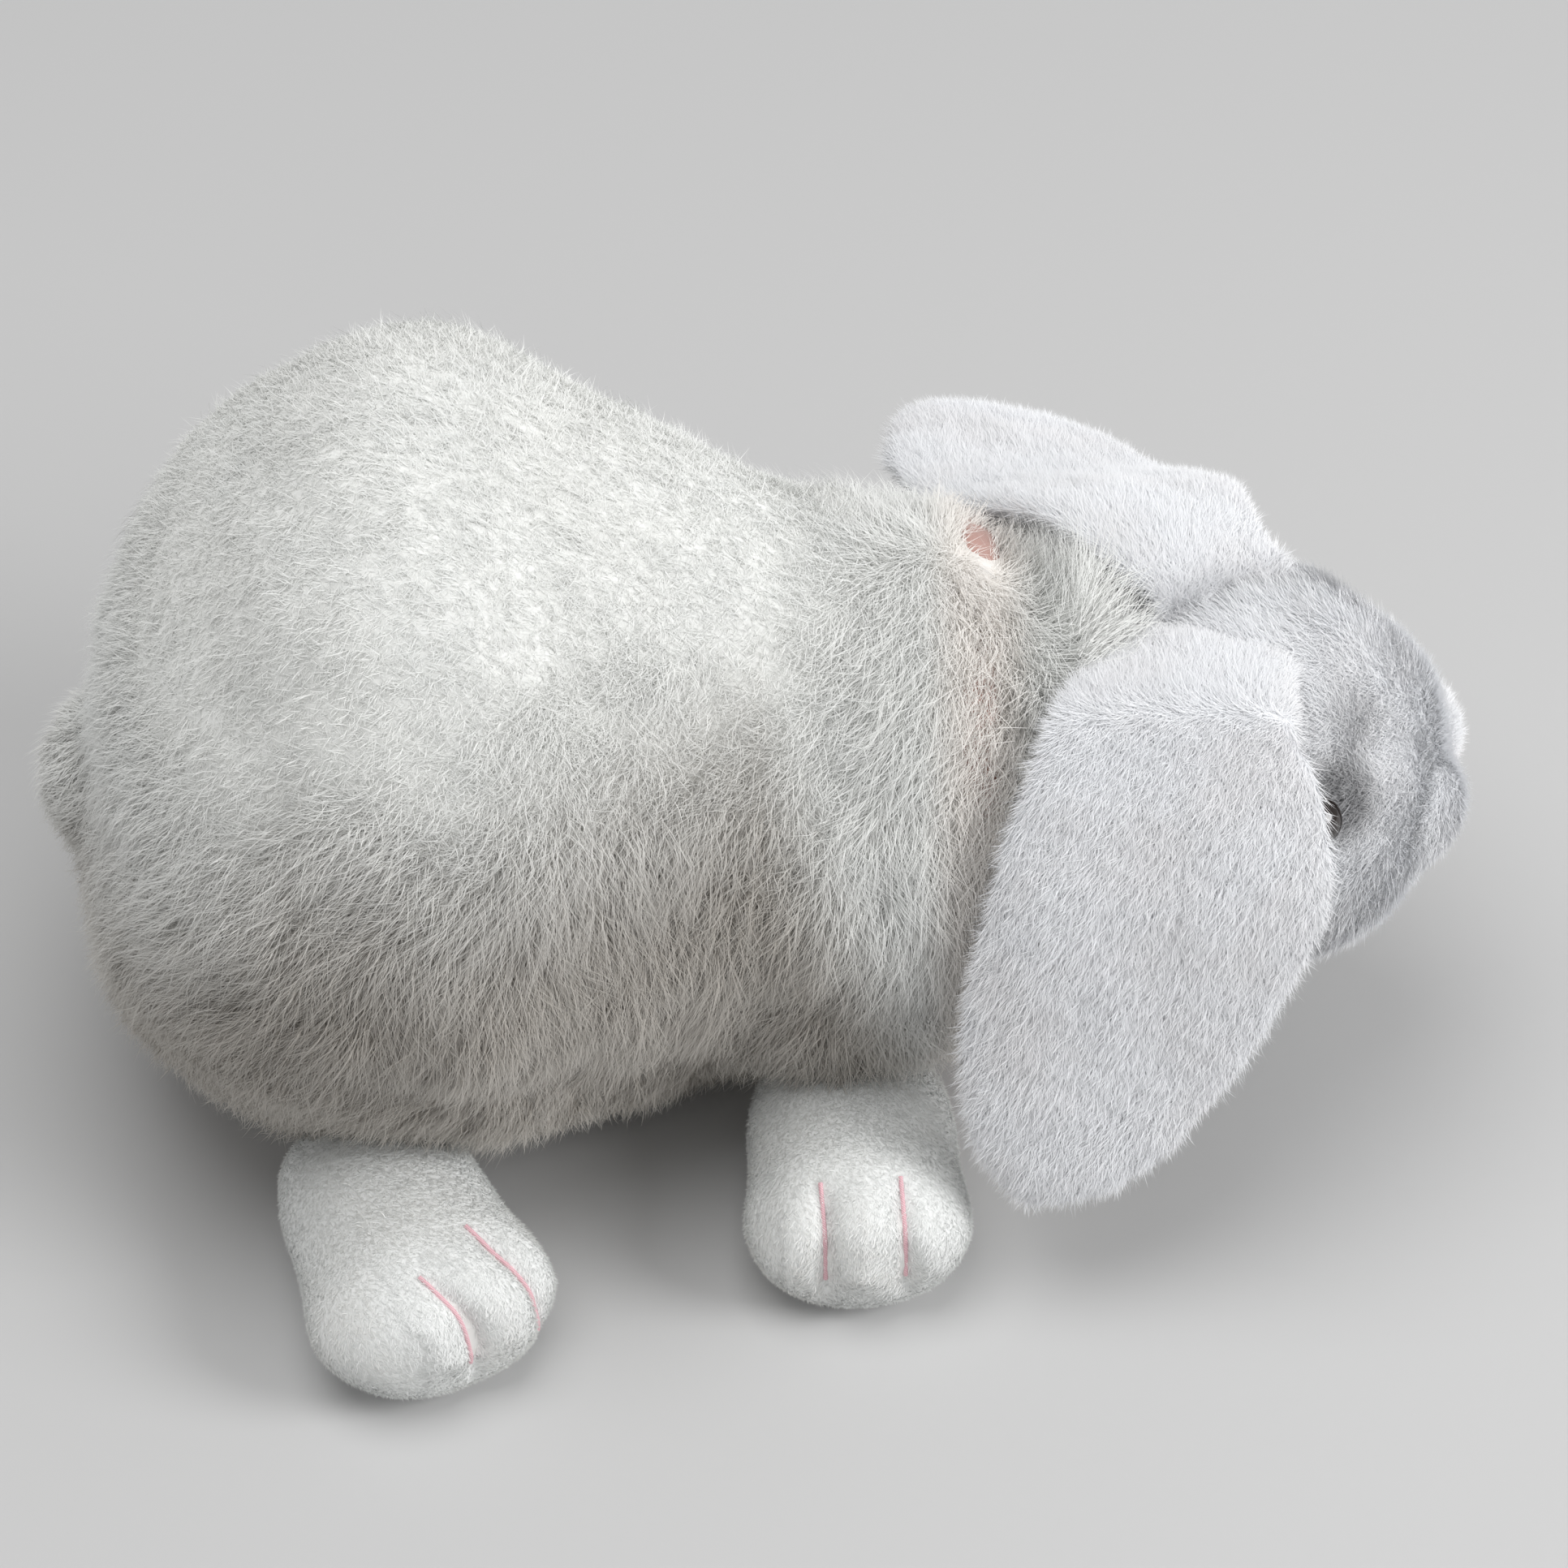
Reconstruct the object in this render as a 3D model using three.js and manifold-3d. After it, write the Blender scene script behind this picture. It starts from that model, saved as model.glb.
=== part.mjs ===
// A stuffed toy rabbit that lies on its belly with its legs spread to the sides.
// Millimetres. +X points to the nose, +Y to the rabbit's left, +Z up, and the floor is at Z = 0.

import * as THREE from 'three';
import { ParametricGeometry } from 'three/addons/geometries/ParametricGeometry.js';
import { mergeVertices } from 'three/addons/utils/BufferGeometryUtils.js';
import Module from 'manifold-3d';

const wasm = await Module();
wasm.setup();

// Clearances, and how deep the floor presses soft undersides flat
const seamGap = 0.3;
const turningGap = 0.8;
const hindTurningGap = 1.3;
const restDepth = 0.5;

// Cloth, pile included
const bodyCloth = 3;
const headCloth = 2.2;
const legCloth = 2;
const tailCloth = 2;

// Body, with places along X counted from its widest section, the rump
const rumpWidth = 156;
const rumpHeight = 180;
const rumpToRear = 75;
const rearHeight = 78;
const rumpToWaist = 54;
const waistWidth = 98;
const waistHeight = 160;
const rumpToNeck = 104;
const neckWidth = 88;
const neckHeight = 132;
const neckLift = 10;
const bellySeamHeight = 24;

// Head, a ball that sits in the open front of the body
const headRadius = 42.5;
const rumpToHead = 168;
const headHeight = 82;
const gussetWidth = 28;
const gussetFrontHeight = 3;

// Muzzle, nose and mouth, with the muzzle's middle counted in from the front of the head
const muzzleInset = 14.5;
const muzzleDrop = 0.5;
const muzzleWidth = 54;
const muzzleDepth = 35;
const muzzleHeight = 33;
const noseWidth = 12;
const noseHeight = 8.5;
const noseStandOut = 2.6;
const noseDrop = 4;
const mouthLength = 10;

// Thread and ribbon
const threadWidth = 1.8;
const threadThickness = 1.2;
const ribbonWidth = 8;
const ribbonThickness = 0.8;
const neckToRibbon = 7;

// Eyes, each held by a washer behind the cover
const eyeRadius = 5.5;
const eyeDome = 3.8;
const eyeRim = 0.8;
const eyeStemRadius = 1.6;
const eyeStemDepth = 9;
const eyeWasherRadius = 7;
const eyeWasherThickness = 1.5;
const eyeForward = 0.31;
const eyeSideways = 0.84;
const eyeUp = 0.44;

// Ears, sewn to the crown along a straight root
const earThickness = 8;
const earRootWidth = 34;
const earWidth = 67;
const earRootBack = 11;
const earRootAside = 18;
const earRootTurn = 27;
const hangingEarReach = [[-7, 19, 0], [-10, 37, -25], [-24, 49, -63], [-38, 61, -97]];
const hangingEarSpread = [1, 0, 0];
const thrownEarReach = [[-13, 18, 0], [-29, 41, -17], [-40, 66, -29], [-53, 90, -38]];
const thrownEarSpread = [0.8, 0.52, -0.4];

// Front legs
const rumpToFrontLeg = 84;
const frontLegLength = 49.5;
const frontLegTurn = 3;
const frontRootRadius = 14.5;
const frontRootWidth = 42;
const frontStandOff = 10;
const frontPawWidth = 47;
const frontToeTurn = 3;

// Hind legs, counted back from the rump
const rumpToHindLeg = 18;
const hindLegLength = 54.5;
const hindLegTurn = 22;
const hindRootRadius = 16;
const hindRootWidth = 41;
const hindStandOff = 15;
const hindPawWidth = 52;
const hindToeTurn = 35;

// Both pairs of legs, with the middle of the paw as a share of the leg's length
const hipHeight = 17.5;
const pawThickness = 34;
const soleSeamDrop = 3;
const pawMiddle = 0.6;
const toeSpacing = 17;
const toeStitchStart = 5;
const toeStitchFoot = 5;

// Tail
const tailRadius = 16;
const tailSink = 7;
const tailHeight = 80;
const tailMouth = 13;

// Facets of the forms: round each one and along it, or round a ball
const bodyFacets = [22, 18];
const legFacets = [12, 11];
const muzzleFacets = [16, 12];
const earFacets = [16, 14];
const headFacets = 24;
const hipFacets = 16;
const tailFacets = 14;
const eyeFacets = 12;

// Places that follow from the sizes
const rumpX = -64;
const rearX = rumpX - rumpToRear;
const waistX = rumpX + rumpToWaist;
const neckX = rumpX + rumpToNeck;
const headCentre = new THREE.Vector3(rumpX + rumpToHead, 0, headHeight);
const tailCentre = new THREE.Vector3(rearX + tailSink, 0, tailHeight);
const beyond = 4 * (rumpToRear + rumpToHead);

// Materials
function cloth(color, roughness) {
  return new THREE.MeshStandardMaterial({ color, roughness, metalness: 0 });
}

const longPile = cloth(0xe8e6df, 0.95);
const shortPile = cloth(0xe9ebee, 0.95);
const pawPile = cloth(0xe3e8e5, 0.9);
const fibre = cloth(0xf2f2f0, 1);
const pinkThread = cloth(0xd99aa6, 0.7);
const coralRibbon = cloth(0xd98a7e, 0.5);
const blackPlastic = cloth(0x16120f, 0.15);
const whitePlastic = cloth(0xd8d8d4, 0.5);

// A closed surface as a solid that can be cut and joined
function solid(geometry) {
  const bare = geometry.clone();
  bare.deleteAttribute('normal');
  bare.deleteAttribute('uv');
  const merged = mergeVertices(bare, 1e-3);
  const corners = merged.index.array;
  const kept = [];
  for (let i = 0; i < corners.length; i += 3) {
    const [a, b, c] = corners.slice(i, i + 3);
    if (a !== b && b !== c && c !== a) kept.push(a, b, c);
  }
  return new wasm.Manifold(new wasm.Mesh({
    numProp: 3,
    vertProperties: new Float32Array(merged.attributes.position.array),
    triVerts: new Uint32Array(kept),
  }));
}

function geometryOf(body) {
  const mesh = body.getMesh();
  const geometry = new THREE.BufferGeometry();
  geometry.setAttribute('position', new THREE.BufferAttribute(new Float32Array(mesh.vertProperties), 3));
  geometry.setIndex(new THREE.BufferAttribute(new Uint32Array(mesh.triVerts), 1));
  return geometry;
}

function piece(name, body, material) {
  const mesh = new THREE.Mesh(geometryOf(body), material);
  mesh.name = name;
  return mesh;
}

function block(low, high) {
  const size = new THREE.Vector3().subVectors(high, low);
  const middle = new THREE.Vector3().addVectors(low, high).multiplyScalar(0.5);
  return solid(new THREE.BoxGeometry(size.x, size.y, size.z).translate(middle.x, middle.y, middle.z));
}

// The space on one side of a plane
const corner = (x, y, z) => new THREE.Vector3(x, y, z);
const above = (z) => block(corner(-beyond, -beyond, z), corner(beyond, beyond, beyond));
const below = (z) => block(corner(-beyond, -beyond, -beyond), corner(beyond, beyond, z));
const ahead = (x) => block(corner(x, -beyond, -beyond), corner(beyond, beyond, beyond));
const leftOf = (y) => block(corner(-beyond, y, -beyond), corner(beyond, beyond, beyond));
const rightOf = (y) => block(corner(-beyond, -beyond, -beyond), corner(beyond, y, beyond));

function ball(centre, radius, around) {
  const sphere = new THREE.SphereGeometry(radius, around, Math.round(around * 0.7));
  return solid(sphere.translate(centre.x, centre.y, centre.z));
}

// The same surface moved outwards along its normals, or inwards where the distance is negative
function grown(geometry, distance) {
  const bare = geometry.clone();
  bare.deleteAttribute('normal');
  bare.deleteAttribute('uv');
  const merged = mergeVertices(bare, 1e-3);
  merged.computeVertexNormals();
  const place = merged.attributes.position;
  const normal = merged.attributes.normal;
  for (let i = 0; i < place.count; i += 1) {
    place.setXYZ(
      i,
      place.getX(i) + distance * normal.getX(i),
      place.getY(i) + distance * normal.getY(i),
      place.getZ(i) + distance * normal.getZ(i),
    );
  }
  return merged;
}

// Cross-sections on a unit square: a whole oval, and the outer and inner halves of one
const wholeOval = (u) => [Math.cos(2 * Math.PI * u), Math.sin(2 * Math.PI * u)];
const outerHalf = (u) => [wholeOval(u)[0], Math.max(wholeOval(u)[1], 0)];
const innerHalf = (u) => [wholeOval(u)[0], Math.min(wholeOval(u)[1], 0)];

const smooth = (points) => new THREE.CatmullRomCurve3(points, false, 'catmullrom', 0.5);

// The spine of a stuffed form, with its half width and half thickness at each station along it.
// The sections are square to the axis, or to the spine itself where no axis is given.
function formPath(stations, axis = null) {
  return {
    spine: smooth(stations.map((station) => station.at)),
    sizes: smooth(stations.map((station) => new THREE.Vector3(station.wide, station.thick, 0))),
    axis,
  };
}

// A stuffed form along a path. The width lies along sideAt, and lift moves the section along its thickness.
function stuffed(path, sideAt, facets, section = wholeOval, lift = 0) {
  const surface = (u, v, target) => {
    const size = path.sizes.getPoint(v);
    const tangent = path.axis ?? path.spine.getTangent(v);
    const side = sideAt(v).clone();
    side.addScaledVector(tangent, -side.dot(tangent)).normalize();
    const up = new THREE.Vector3().crossVectors(tangent, side);
    const [across, through] = section(u % 1);
    target.copy(path.spine.getPoint(v));
    target.addScaledVector(side, across * Math.max(size.x, 0));
    target.addScaledVector(up, through * Math.max(size.y, 0) + lift);
  };
  return new ParametricGeometry(surface, ...facets);
}

// A band of cloth or thread that lies on a form, where it passes through a cutter
function bandOn(form, thickness, cutter) {
  const outside = solid(grown(form, seamGap + thickness));
  return outside.subtract(solid(grown(form, seamGap))).intersect(cutter);
}

// Body form: its sections run from the tail end over the rump and waist to the collar round the head
function bodyStation(x, width, low, high) {
  const at = new THREE.Vector3(x, 0, (low + high) / 2);
  return { at, wide: width / 2, thick: (high - low) / 2 };
}

function stationBetween(from, to, share) {
  return {
    at: from.at.clone().lerp(to.at, share),
    wide: THREE.MathUtils.lerp(from.wide, to.wide, share),
    thick: THREE.MathUtils.lerp(from.thick, to.thick, share),
  };
}

function stationLike(like, x, z, wideShare, thickShare) {
  return { at: new THREE.Vector3(x, 0, z), wide: like.wide * wideShare, thick: like.thick * thickShare };
}

const rump = bodyStation(rumpX, rumpWidth, -restDepth, rumpHeight);
const waist = bodyStation(waistX, waistWidth, -restDepth, waistHeight);
const neck = bodyStation(neckX, neckWidth, neckLift, neckLift + neckHeight);
const haunch = stationBetween(rump, waist, 0.52);
const chest = stationBetween(waist, neck, 0.52);
chest.at.z = chest.thick;
const behindRump = (share) => rumpX - share * rumpToRear;
const behindHead = (share) => headCentre.x - share * headRadius;
const bodyPath = formPath([
  stationLike(rump, rearX, rearHeight, 0, 0),
  stationLike(rump, behindRump(0.93), rearHeight, 0.5, 0.5),
  stationLike(rump, behindRump(0.74), (rearHeight + rump.at.z) / 2, 0.8, 0.77),
  stationLike(rump, behindRump(0.39), rump.at.z - restDepth, 0.97, 0.97),
  rump,
  haunch,
  waist,
  chest,
  neck,
  stationLike(neck, behindHead(1.06), neck.at.z, 0.91, 0.76),
  stationLike(neck, behindHead(0.78), headHeight, 0.64, 0.5),
  stationLike(neck, behindHead(0.66), headHeight, 0, 0),
], new THREE.Vector3(1, 0, 0));
const bodyForm = stuffed(bodyPath, () => new THREE.Vector3(0, 1, 0), bodyFacets);

// Half the body's width at a place along it and a height
function bodyHalfWidth(x, z) {
  let near = 0;
  let far = 1;
  for (let i = 0; i < 30; i += 1) {
    const middle = (near + far) / 2;
    if (bodyPath.spine.getPoint(middle).x < x) near = middle;
    else far = middle;
  }
  const size = bodyPath.sizes.getPoint(near);
  const drop = (bodyPath.spine.getPoint(near).z - z) / size.y;
  return size.x * Math.sqrt(1 - drop * drop);
}

// A leg turns about its hip, a wide ball let into the body; side is 1 on the left and -1 on the right
const pawHeight = pawThickness / 2 - restDepth;

function makeLeg(name, side, sizes) {
  const turn = THREE.MathUtils.degToRad(sizes.turn);
  const toeTurn = THREE.MathUtils.degToRad(sizes.toeTurn);
  const hip = new THREE.Vector3(sizes.x, 0, hipHeight);
  hip.y = side * (bodyHalfWidth(sizes.x, hipHeight) + sizes.standOff);
  const outwards = new THREE.Vector3(Math.sin(turn), side * Math.cos(turn), 0);
  const station = (distance, height, wide, thick) => {
    const at = hip.clone().addScaledVector(outwards, distance).setZ(height);
    return { at, wide, thick };
  };
  const root = sizes.rootRadius;
  const wide = sizes.rootWidth / 2;
  const paw = sizes.pawWidth / 2;
  const pad = pawThickness / 2;
  const form = stuffed(formPath([
    station(-root, hipHeight, 0, 0),
    station(-root * Math.SQRT1_2, hipHeight, wide * Math.SQRT1_2, root * Math.SQRT1_2),
    station(0, hipHeight, wide, root),
    station(0.38 * sizes.length, (hipHeight + pawHeight) / 2, (wide + paw) / 2, (root + pad) / 2),
    station(0.7 * sizes.length, pawHeight, paw, pad),
    station(0.92 * sizes.length, pawHeight, 0.72 * paw, 0.72 * pad),
    station(sizes.length, pawHeight, 0, 0),
  ], outwards), () => new THREE.Vector3(-side, 0, 0), legFacets);
  const layer = (depth) => solid(grown(form, -depth));
  const cover = layer(0).subtract(layer(legCloth)).subtract(below(0));
  const seam = pawHeight - soleSeamDrop;
  const group = new THREE.Group();
  group.add(piece(`${name}_upper`, cover.intersect(above(seam + seamGap / 2)), pawPile));
  group.add(piece(`${name}_sole`, cover.intersect(below(seam - seamGap / 2)), pawPile));
  group.add(piece(`${name}_stuffing`, layer(legCloth + seamGap), fibre));
  for (const [place, across] of [['rear', -toeSpacing / 2], ['fore', toeSpacing / 2]]) {
    const slot = new THREE.BoxGeometry(threadWidth, sizes.length, pawThickness);
    slot.translate(across, side * (toeStitchStart + sizes.length / 2), toeStitchFoot + pawThickness / 2);
    slot.rotateZ(-side * toeTurn).translate(0, side * pawMiddle * sizes.length, 0);
    slot.rotateZ(-side * turn).translate(hip.x, hip.y, 0);
    group.add(piece(`${name}_toe_stitch_${place}`, bandOn(form, threadThickness, solid(slot)), pinkThread));
  }
  const socket = new THREE.SphereGeometry(1, hipFacets, Math.round(hipFacets * 0.7));
  socket.scale(wide + sizes.gap, root + sizes.gap, root + sizes.gap);
  socket.rotateZ(-side * turn).translate(hip.x, hip.y, hip.z);
  return { group, socket: solid(socket) };
}

const frontLeg = {
  x: rumpX + rumpToFrontLeg,
  length: frontLegLength,
  turn: frontLegTurn,
  rootRadius: frontRootRadius,
  rootWidth: frontRootWidth,
  standOff: frontStandOff,
  pawWidth: frontPawWidth,
  toeTurn: frontToeTurn,
  gap: turningGap,
};
const hindLeg = {
  x: rumpX - rumpToHindLeg,
  length: hindLegLength,
  turn: hindLegTurn,
  rootRadius: hindRootRadius,
  rootWidth: hindRootWidth,
  standOff: hindStandOff,
  pawWidth: hindPawWidth,
  toeTurn: hindToeTurn,
  gap: hindTurningGap,
};
const legs = [
  makeLeg('right_front_leg', -1, frontLeg),
  makeLeg('left_front_leg', 1, frontLeg),
  makeLeg('right_hind_leg', -1, hindLeg),
  makeLeg('left_hind_leg', 1, hindLeg),
];

// Body cover in three panels, its stuffing, and the ribbon round the neck
function makeBody() {
  let carved = ball(headCentre, headRadius + turningGap, headFacets).add(below(0));
  carved = carved.add(ball(tailCentre, tailRadius + turningGap, tailFacets));
  for (const leg of legs) carved = carved.add(leg.socket);
  const layer = (depth) => solid(grown(bodyForm, -depth));
  const cover = layer(0).subtract(layer(bodyCloth)).subtract(carved);
  const back = cover.intersect(above(bellySeamHeight + seamGap / 2));
  const ribbonX = neckX + neckToRibbon;
  const ribbonPlace = ahead(ribbonX - ribbonWidth / 2).subtract(ahead(ribbonX + ribbonWidth / 2));
  const group = new THREE.Group();
  group.add(piece('back_left_panel', back.intersect(leftOf(seamGap / 2)), longPile));
  group.add(piece('back_right_panel', back.intersect(rightOf(-seamGap / 2)), longPile));
  group.add(piece('belly_panel', cover.intersect(below(bellySeamHeight - seamGap / 2)), longPile));
  group.add(piece('body_stuffing', layer(bodyCloth + seamGap).subtract(carved), fibre));
  group.add(piece('neck_ribbon', bandOn(bodyForm, ribbonThickness, ribbonPlace), coralRibbon));
  return group;
}

// Tail: a puff sewn on at its open mouth
function makeTail() {
  const mouth = ahead(tailCentre.x + tailMouth);
  const layer = (depth) => ball(tailCentre, tailRadius - depth, tailFacets).subtract(mouth);
  const group = new THREE.Group();
  const hollow = ball(tailCentre, tailRadius - tailCloth, tailFacets);
  group.add(piece('tail_cover', layer(0).subtract(hollow), longPile));
  group.add(piece('tail_stuffing', layer(tailCloth + seamGap), fibre));
  return group;
}

// Eyes: the profiles are turned about an axis out of the middle of the head
const eyeSeat = headRadius + seamGap;
const eyeStemEnd = headRadius - eyeStemDepth;
const washerTop = Math.sqrt((headRadius - headCloth) ** 2 - eyeWasherRadius ** 2) - seamGap;
const washerFoot = washerTop - eyeWasherThickness;

function lathe(points) {
  return new THREE.LatheGeometry(points.map(([r, y]) => new THREE.Vector2(r, y)), eyeFacets);
}

function eyeProfile() {
  const points = [
    [0, eyeStemEnd],
    [eyeStemRadius, eyeStemEnd],
    [eyeStemRadius, eyeSeat],
    [eyeRadius, eyeSeat],
  ];
  const steps = 5;
  for (let i = 0; i < steps; i += 1) {
    const angle = (i / steps) * Math.PI / 2;
    const rise = eyeRim + (eyeDome - eyeRim) * Math.sin(angle);
    points.push([eyeRadius * Math.cos(angle), eyeSeat + rise]);
  }
  points.push([0, eyeSeat + eyeDome]);
  return points;
}

function washerProfile() {
  const bore = eyeStemRadius + seamGap;
  return [
    [bore, washerFoot],
    [eyeWasherRadius, washerFoot],
    [eyeWasherRadius, washerTop],
    [bore, washerTop],
    [bore, washerFoot],
  ];
}

// The room that an eye's stem and washer take inside the cover
function eyePocketProfile() {
  const stem = eyeStemRadius + seamGap;
  const washer = eyeWasherRadius + seamGap;
  return [
    [0, eyeStemEnd - seamGap],
    [stem, eyeStemEnd - seamGap],
    [stem, washerFoot - seamGap],
    [washer, washerFoot - seamGap],
    [washer, headRadius],
    [0, headRadius],
  ];
}

function eyeHoleProfile() {
  const stem = eyeStemRadius + seamGap;
  return [[0, eyeStemEnd], [stem, eyeStemEnd], [stem, eyeSeat + eyeDome], [0, eyeSeat + eyeDome]];
}

function eyeMatrix(side) {
  const outwards = new THREE.Vector3(eyeForward, side * eyeSideways, eyeUp).normalize();
  const turned = new THREE.Quaternion().setFromUnitVectors(new THREE.Vector3(0, 1, 0), outwards);
  return new THREE.Matrix4().compose(headCentre, turned, new THREE.Vector3(1, 1, 1));
}

// Muzzle: a puff across the front of the head, drawn in at the middle
function makeMuzzleForm() {
  const middle = headCentre.clone().add(new THREE.Vector3(headRadius - muzzleInset, 0, -muzzleDrop));
  const station = (share, size) => ({
    at: middle.clone().setY(share * muzzleWidth / 2),
    wide: size * muzzleDepth / 2,
    thick: size * muzzleHeight / 2,
  });
  return stuffed(formPath([
    station(-1, 0),
    station(-0.86, 0.56),
    station(-0.45, 1),
    station(0, 0.9),
    station(0.45, 1),
    station(0.86, 0.56),
    station(1, 0),
  ], new THREE.Vector3(0, 1, 0)), () => new THREE.Vector3(-1, 0, 0), muzzleFacets);
}

function noseOutline() {
  const half = noseWidth / 2;
  const outline = new THREE.Shape();
  outline.moveTo(0, -noseHeight / 2);
  outline.quadraticCurveTo(-half, 0, -half, noseHeight / 3);
  outline.quadraticCurveTo(-half, noseHeight / 2, -half / 2, noseHeight / 2);
  outline.lineTo(half / 2, noseHeight / 2);
  outline.quadraticCurveTo(half, noseHeight / 2, half, noseHeight / 3);
  outline.quadraticCurveTo(half, 0, 0, -noseHeight / 2);
  return outline;
}

function makeHead() {
  const headBall = (radius) => ball(headCentre, radius, headFacets);
  const muzzleForm = makeMuzzleForm();
  const sides = [['right', -1], ['left', 1]];
  const turned = (points, side) => solid(lathe(points).applyMatrix4(eyeMatrix(side)));
  let cover = headBall(headRadius).subtract(headBall(headRadius - headCloth));
  let stuffing = headBall(headRadius - headCloth - seamGap);
  const group = new THREE.Group();
  for (const [name, side] of sides) {
    cover = cover.subtract(turned(eyeHoleProfile(), side));
    stuffing = stuffing.subtract(turned(eyePocketProfile(), side));
    group.add(piece(`${name}_eye`, turned(eyeProfile(), side), blackPlastic));
    group.add(piece(`${name}_eye_washer`, turned(washerProfile(), side), whitePlastic));
  }
  const strip = (halfWidth, foot) => {
    return leftOf(-halfWidth).intersect(rightOf(halfWidth)).intersect(above(foot));
  };
  const gussetFoot = headHeight + gussetFrontHeight;
  const cheeks = cover.subtract(strip(gussetWidth / 2 + seamGap, gussetFoot - seamGap));
  group.add(piece('head_gusset', cover.intersect(strip(gussetWidth / 2, gussetFoot)), shortPile));
  group.add(piece('left_cheek_panel', cheeks.intersect(leftOf(seamGap / 2)), shortPile));
  group.add(piece('right_cheek_panel', cheeks.intersect(rightOf(-seamGap / 2)), shortPile));
  group.add(piece('head_stuffing', stuffing, fibre));
  const muzzle = solid(muzzleForm).subtract(headBall(headRadius + seamGap));
  group.add(piece('muzzle', muzzle, shortPile));
  const noseDepth = headRadius / 2;
  const nose = new THREE.ExtrudeGeometry(noseOutline(), {
    depth: noseDepth,
    bevelEnabled: false,
    curveSegments: 4,
  });
  nose.rotateY(Math.PI / 2).rotateX(Math.PI / 2);
  nose.translate(headCentre.x + headRadius + noseStandOut - noseDepth, 0, headHeight - noseDrop);
  const faceAt = (distance) => headBall(headRadius + distance).add(solid(grown(muzzleForm, distance)));
  const noseSeat = faceAt(seamGap);
  group.add(piece('nose', solid(nose).subtract(noseSeat), pinkThread));
  const line = leftOf(-threadWidth / 2).intersect(rightOf(threadWidth / 2)).intersect(ahead(headCentre.x));
  const mouthTop = headHeight - noseDrop - noseHeight / 2 - seamGap;
  const mouthPlace = line.intersect(below(mouthTop)).intersect(above(mouthTop - mouthLength));
  const mouth = faceAt(seamGap + threadThickness).subtract(noseSeat).intersect(mouthPlace);
  group.add(piece('mouth_stitch', mouth, pinkThread));
  return group;
}

// Ears: a back and a lining, face to face, from a half-round root that turns beside the crown
function makeEar(name, side, reach, spread) {
  const back = THREE.MathUtils.degToRad(earRootBack);
  const aside = THREE.MathUtils.degToRad(earRootAside);
  const turn = THREE.MathUtils.degToRad(earRootTurn);
  const up = new THREE.Vector3(-Math.sin(back), side * Math.sin(aside), Math.cos(back) * Math.cos(aside));
  up.normalize();
  const half = earThickness / 2;
  const root = headCentre.clone().addScaledVector(up, headRadius + turningGap + half);
  const rootLine = new THREE.Vector3(Math.cos(turn), side * Math.sin(turn), 0);
  const places = reach.map(([x, y, z]) => root.clone().add(new THREE.Vector3(x, side * y, z)));
  const [shoulder, middle, lower, tip] = places;
  const outwards = shoulder.clone().sub(root).normalize();
  const behindRoot = (share) => root.clone().addScaledVector(outwards, -share * half);
  const station = (at, width, thick) => ({ at, wide: width / 2, thick: thick * half });
  const path = formPath([
    station(behindRoot(1), 0.88 * earRootWidth, 0),
    station(behindRoot(0.7), 0.95 * earRootWidth, 0.7),
    station(root, earRootWidth, 1),
    station(shoulder, (earRootWidth + earWidth) / 2, 1),
    station(middle, earWidth, 1),
    station(lower, 0.84 * earWidth, 1),
    station(lower.clone().lerp(tip, 0.7), 0.5 * earWidth, 0.85),
    station(tip, 0, 0),
  ]);
  const spreadLine = new THREE.Vector3(spread[0], side * spread[1], spread[2]);
  const sideAt = (v) => rootLine.clone().lerp(spreadLine, Math.min(1, 2 * v)).multiplyScalar(-side);
  const group = new THREE.Group();
  const outer = stuffed(path, sideAt, earFacets, outerHalf, seamGap / 2);
  const inner = stuffed(path, sideAt, earFacets, innerHalf, -seamGap / 2);
  group.add(piece(`${name}_back`, solid(outer), shortPile));
  group.add(piece(`${name}_lining`, solid(inner), shortPile));
  return group;
}

const rabbit = new THREE.Group();
rabbit.add(makeBody());
rabbit.add(makeTail());
rabbit.add(makeHead());
rabbit.add(makeEar('right_ear', -1, hangingEarReach, hangingEarSpread));
rabbit.add(makeEar('left_ear', 1, thrownEarReach, thrownEarSpread));
for (const leg of legs) rabbit.add(leg.group);

// The origin lies on the floor, under the middle of the toy
const middle = new THREE.Box3().setFromObject(rabbit).getCenter(new THREE.Vector3());
rabbit.position.set(-middle.x, -middle.y, 0);

export default rabbit;
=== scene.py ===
# A stuffed toy rabbit on its belly, with its cloth, pile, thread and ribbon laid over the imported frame.
# Shapes are worked out in millimetres and made in metres, in the frame's own axes.

import math
from functools import partial

import bmesh
import bpy
from bpy.props import FloatProperty, FloatVectorProperty, IntProperty, PointerProperty
from mathutils import Matrix, Quaternion, Vector, noise
from mathutils.bvhtree import BVHTree
from mathutils.geometry import intersect_point_line


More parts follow.
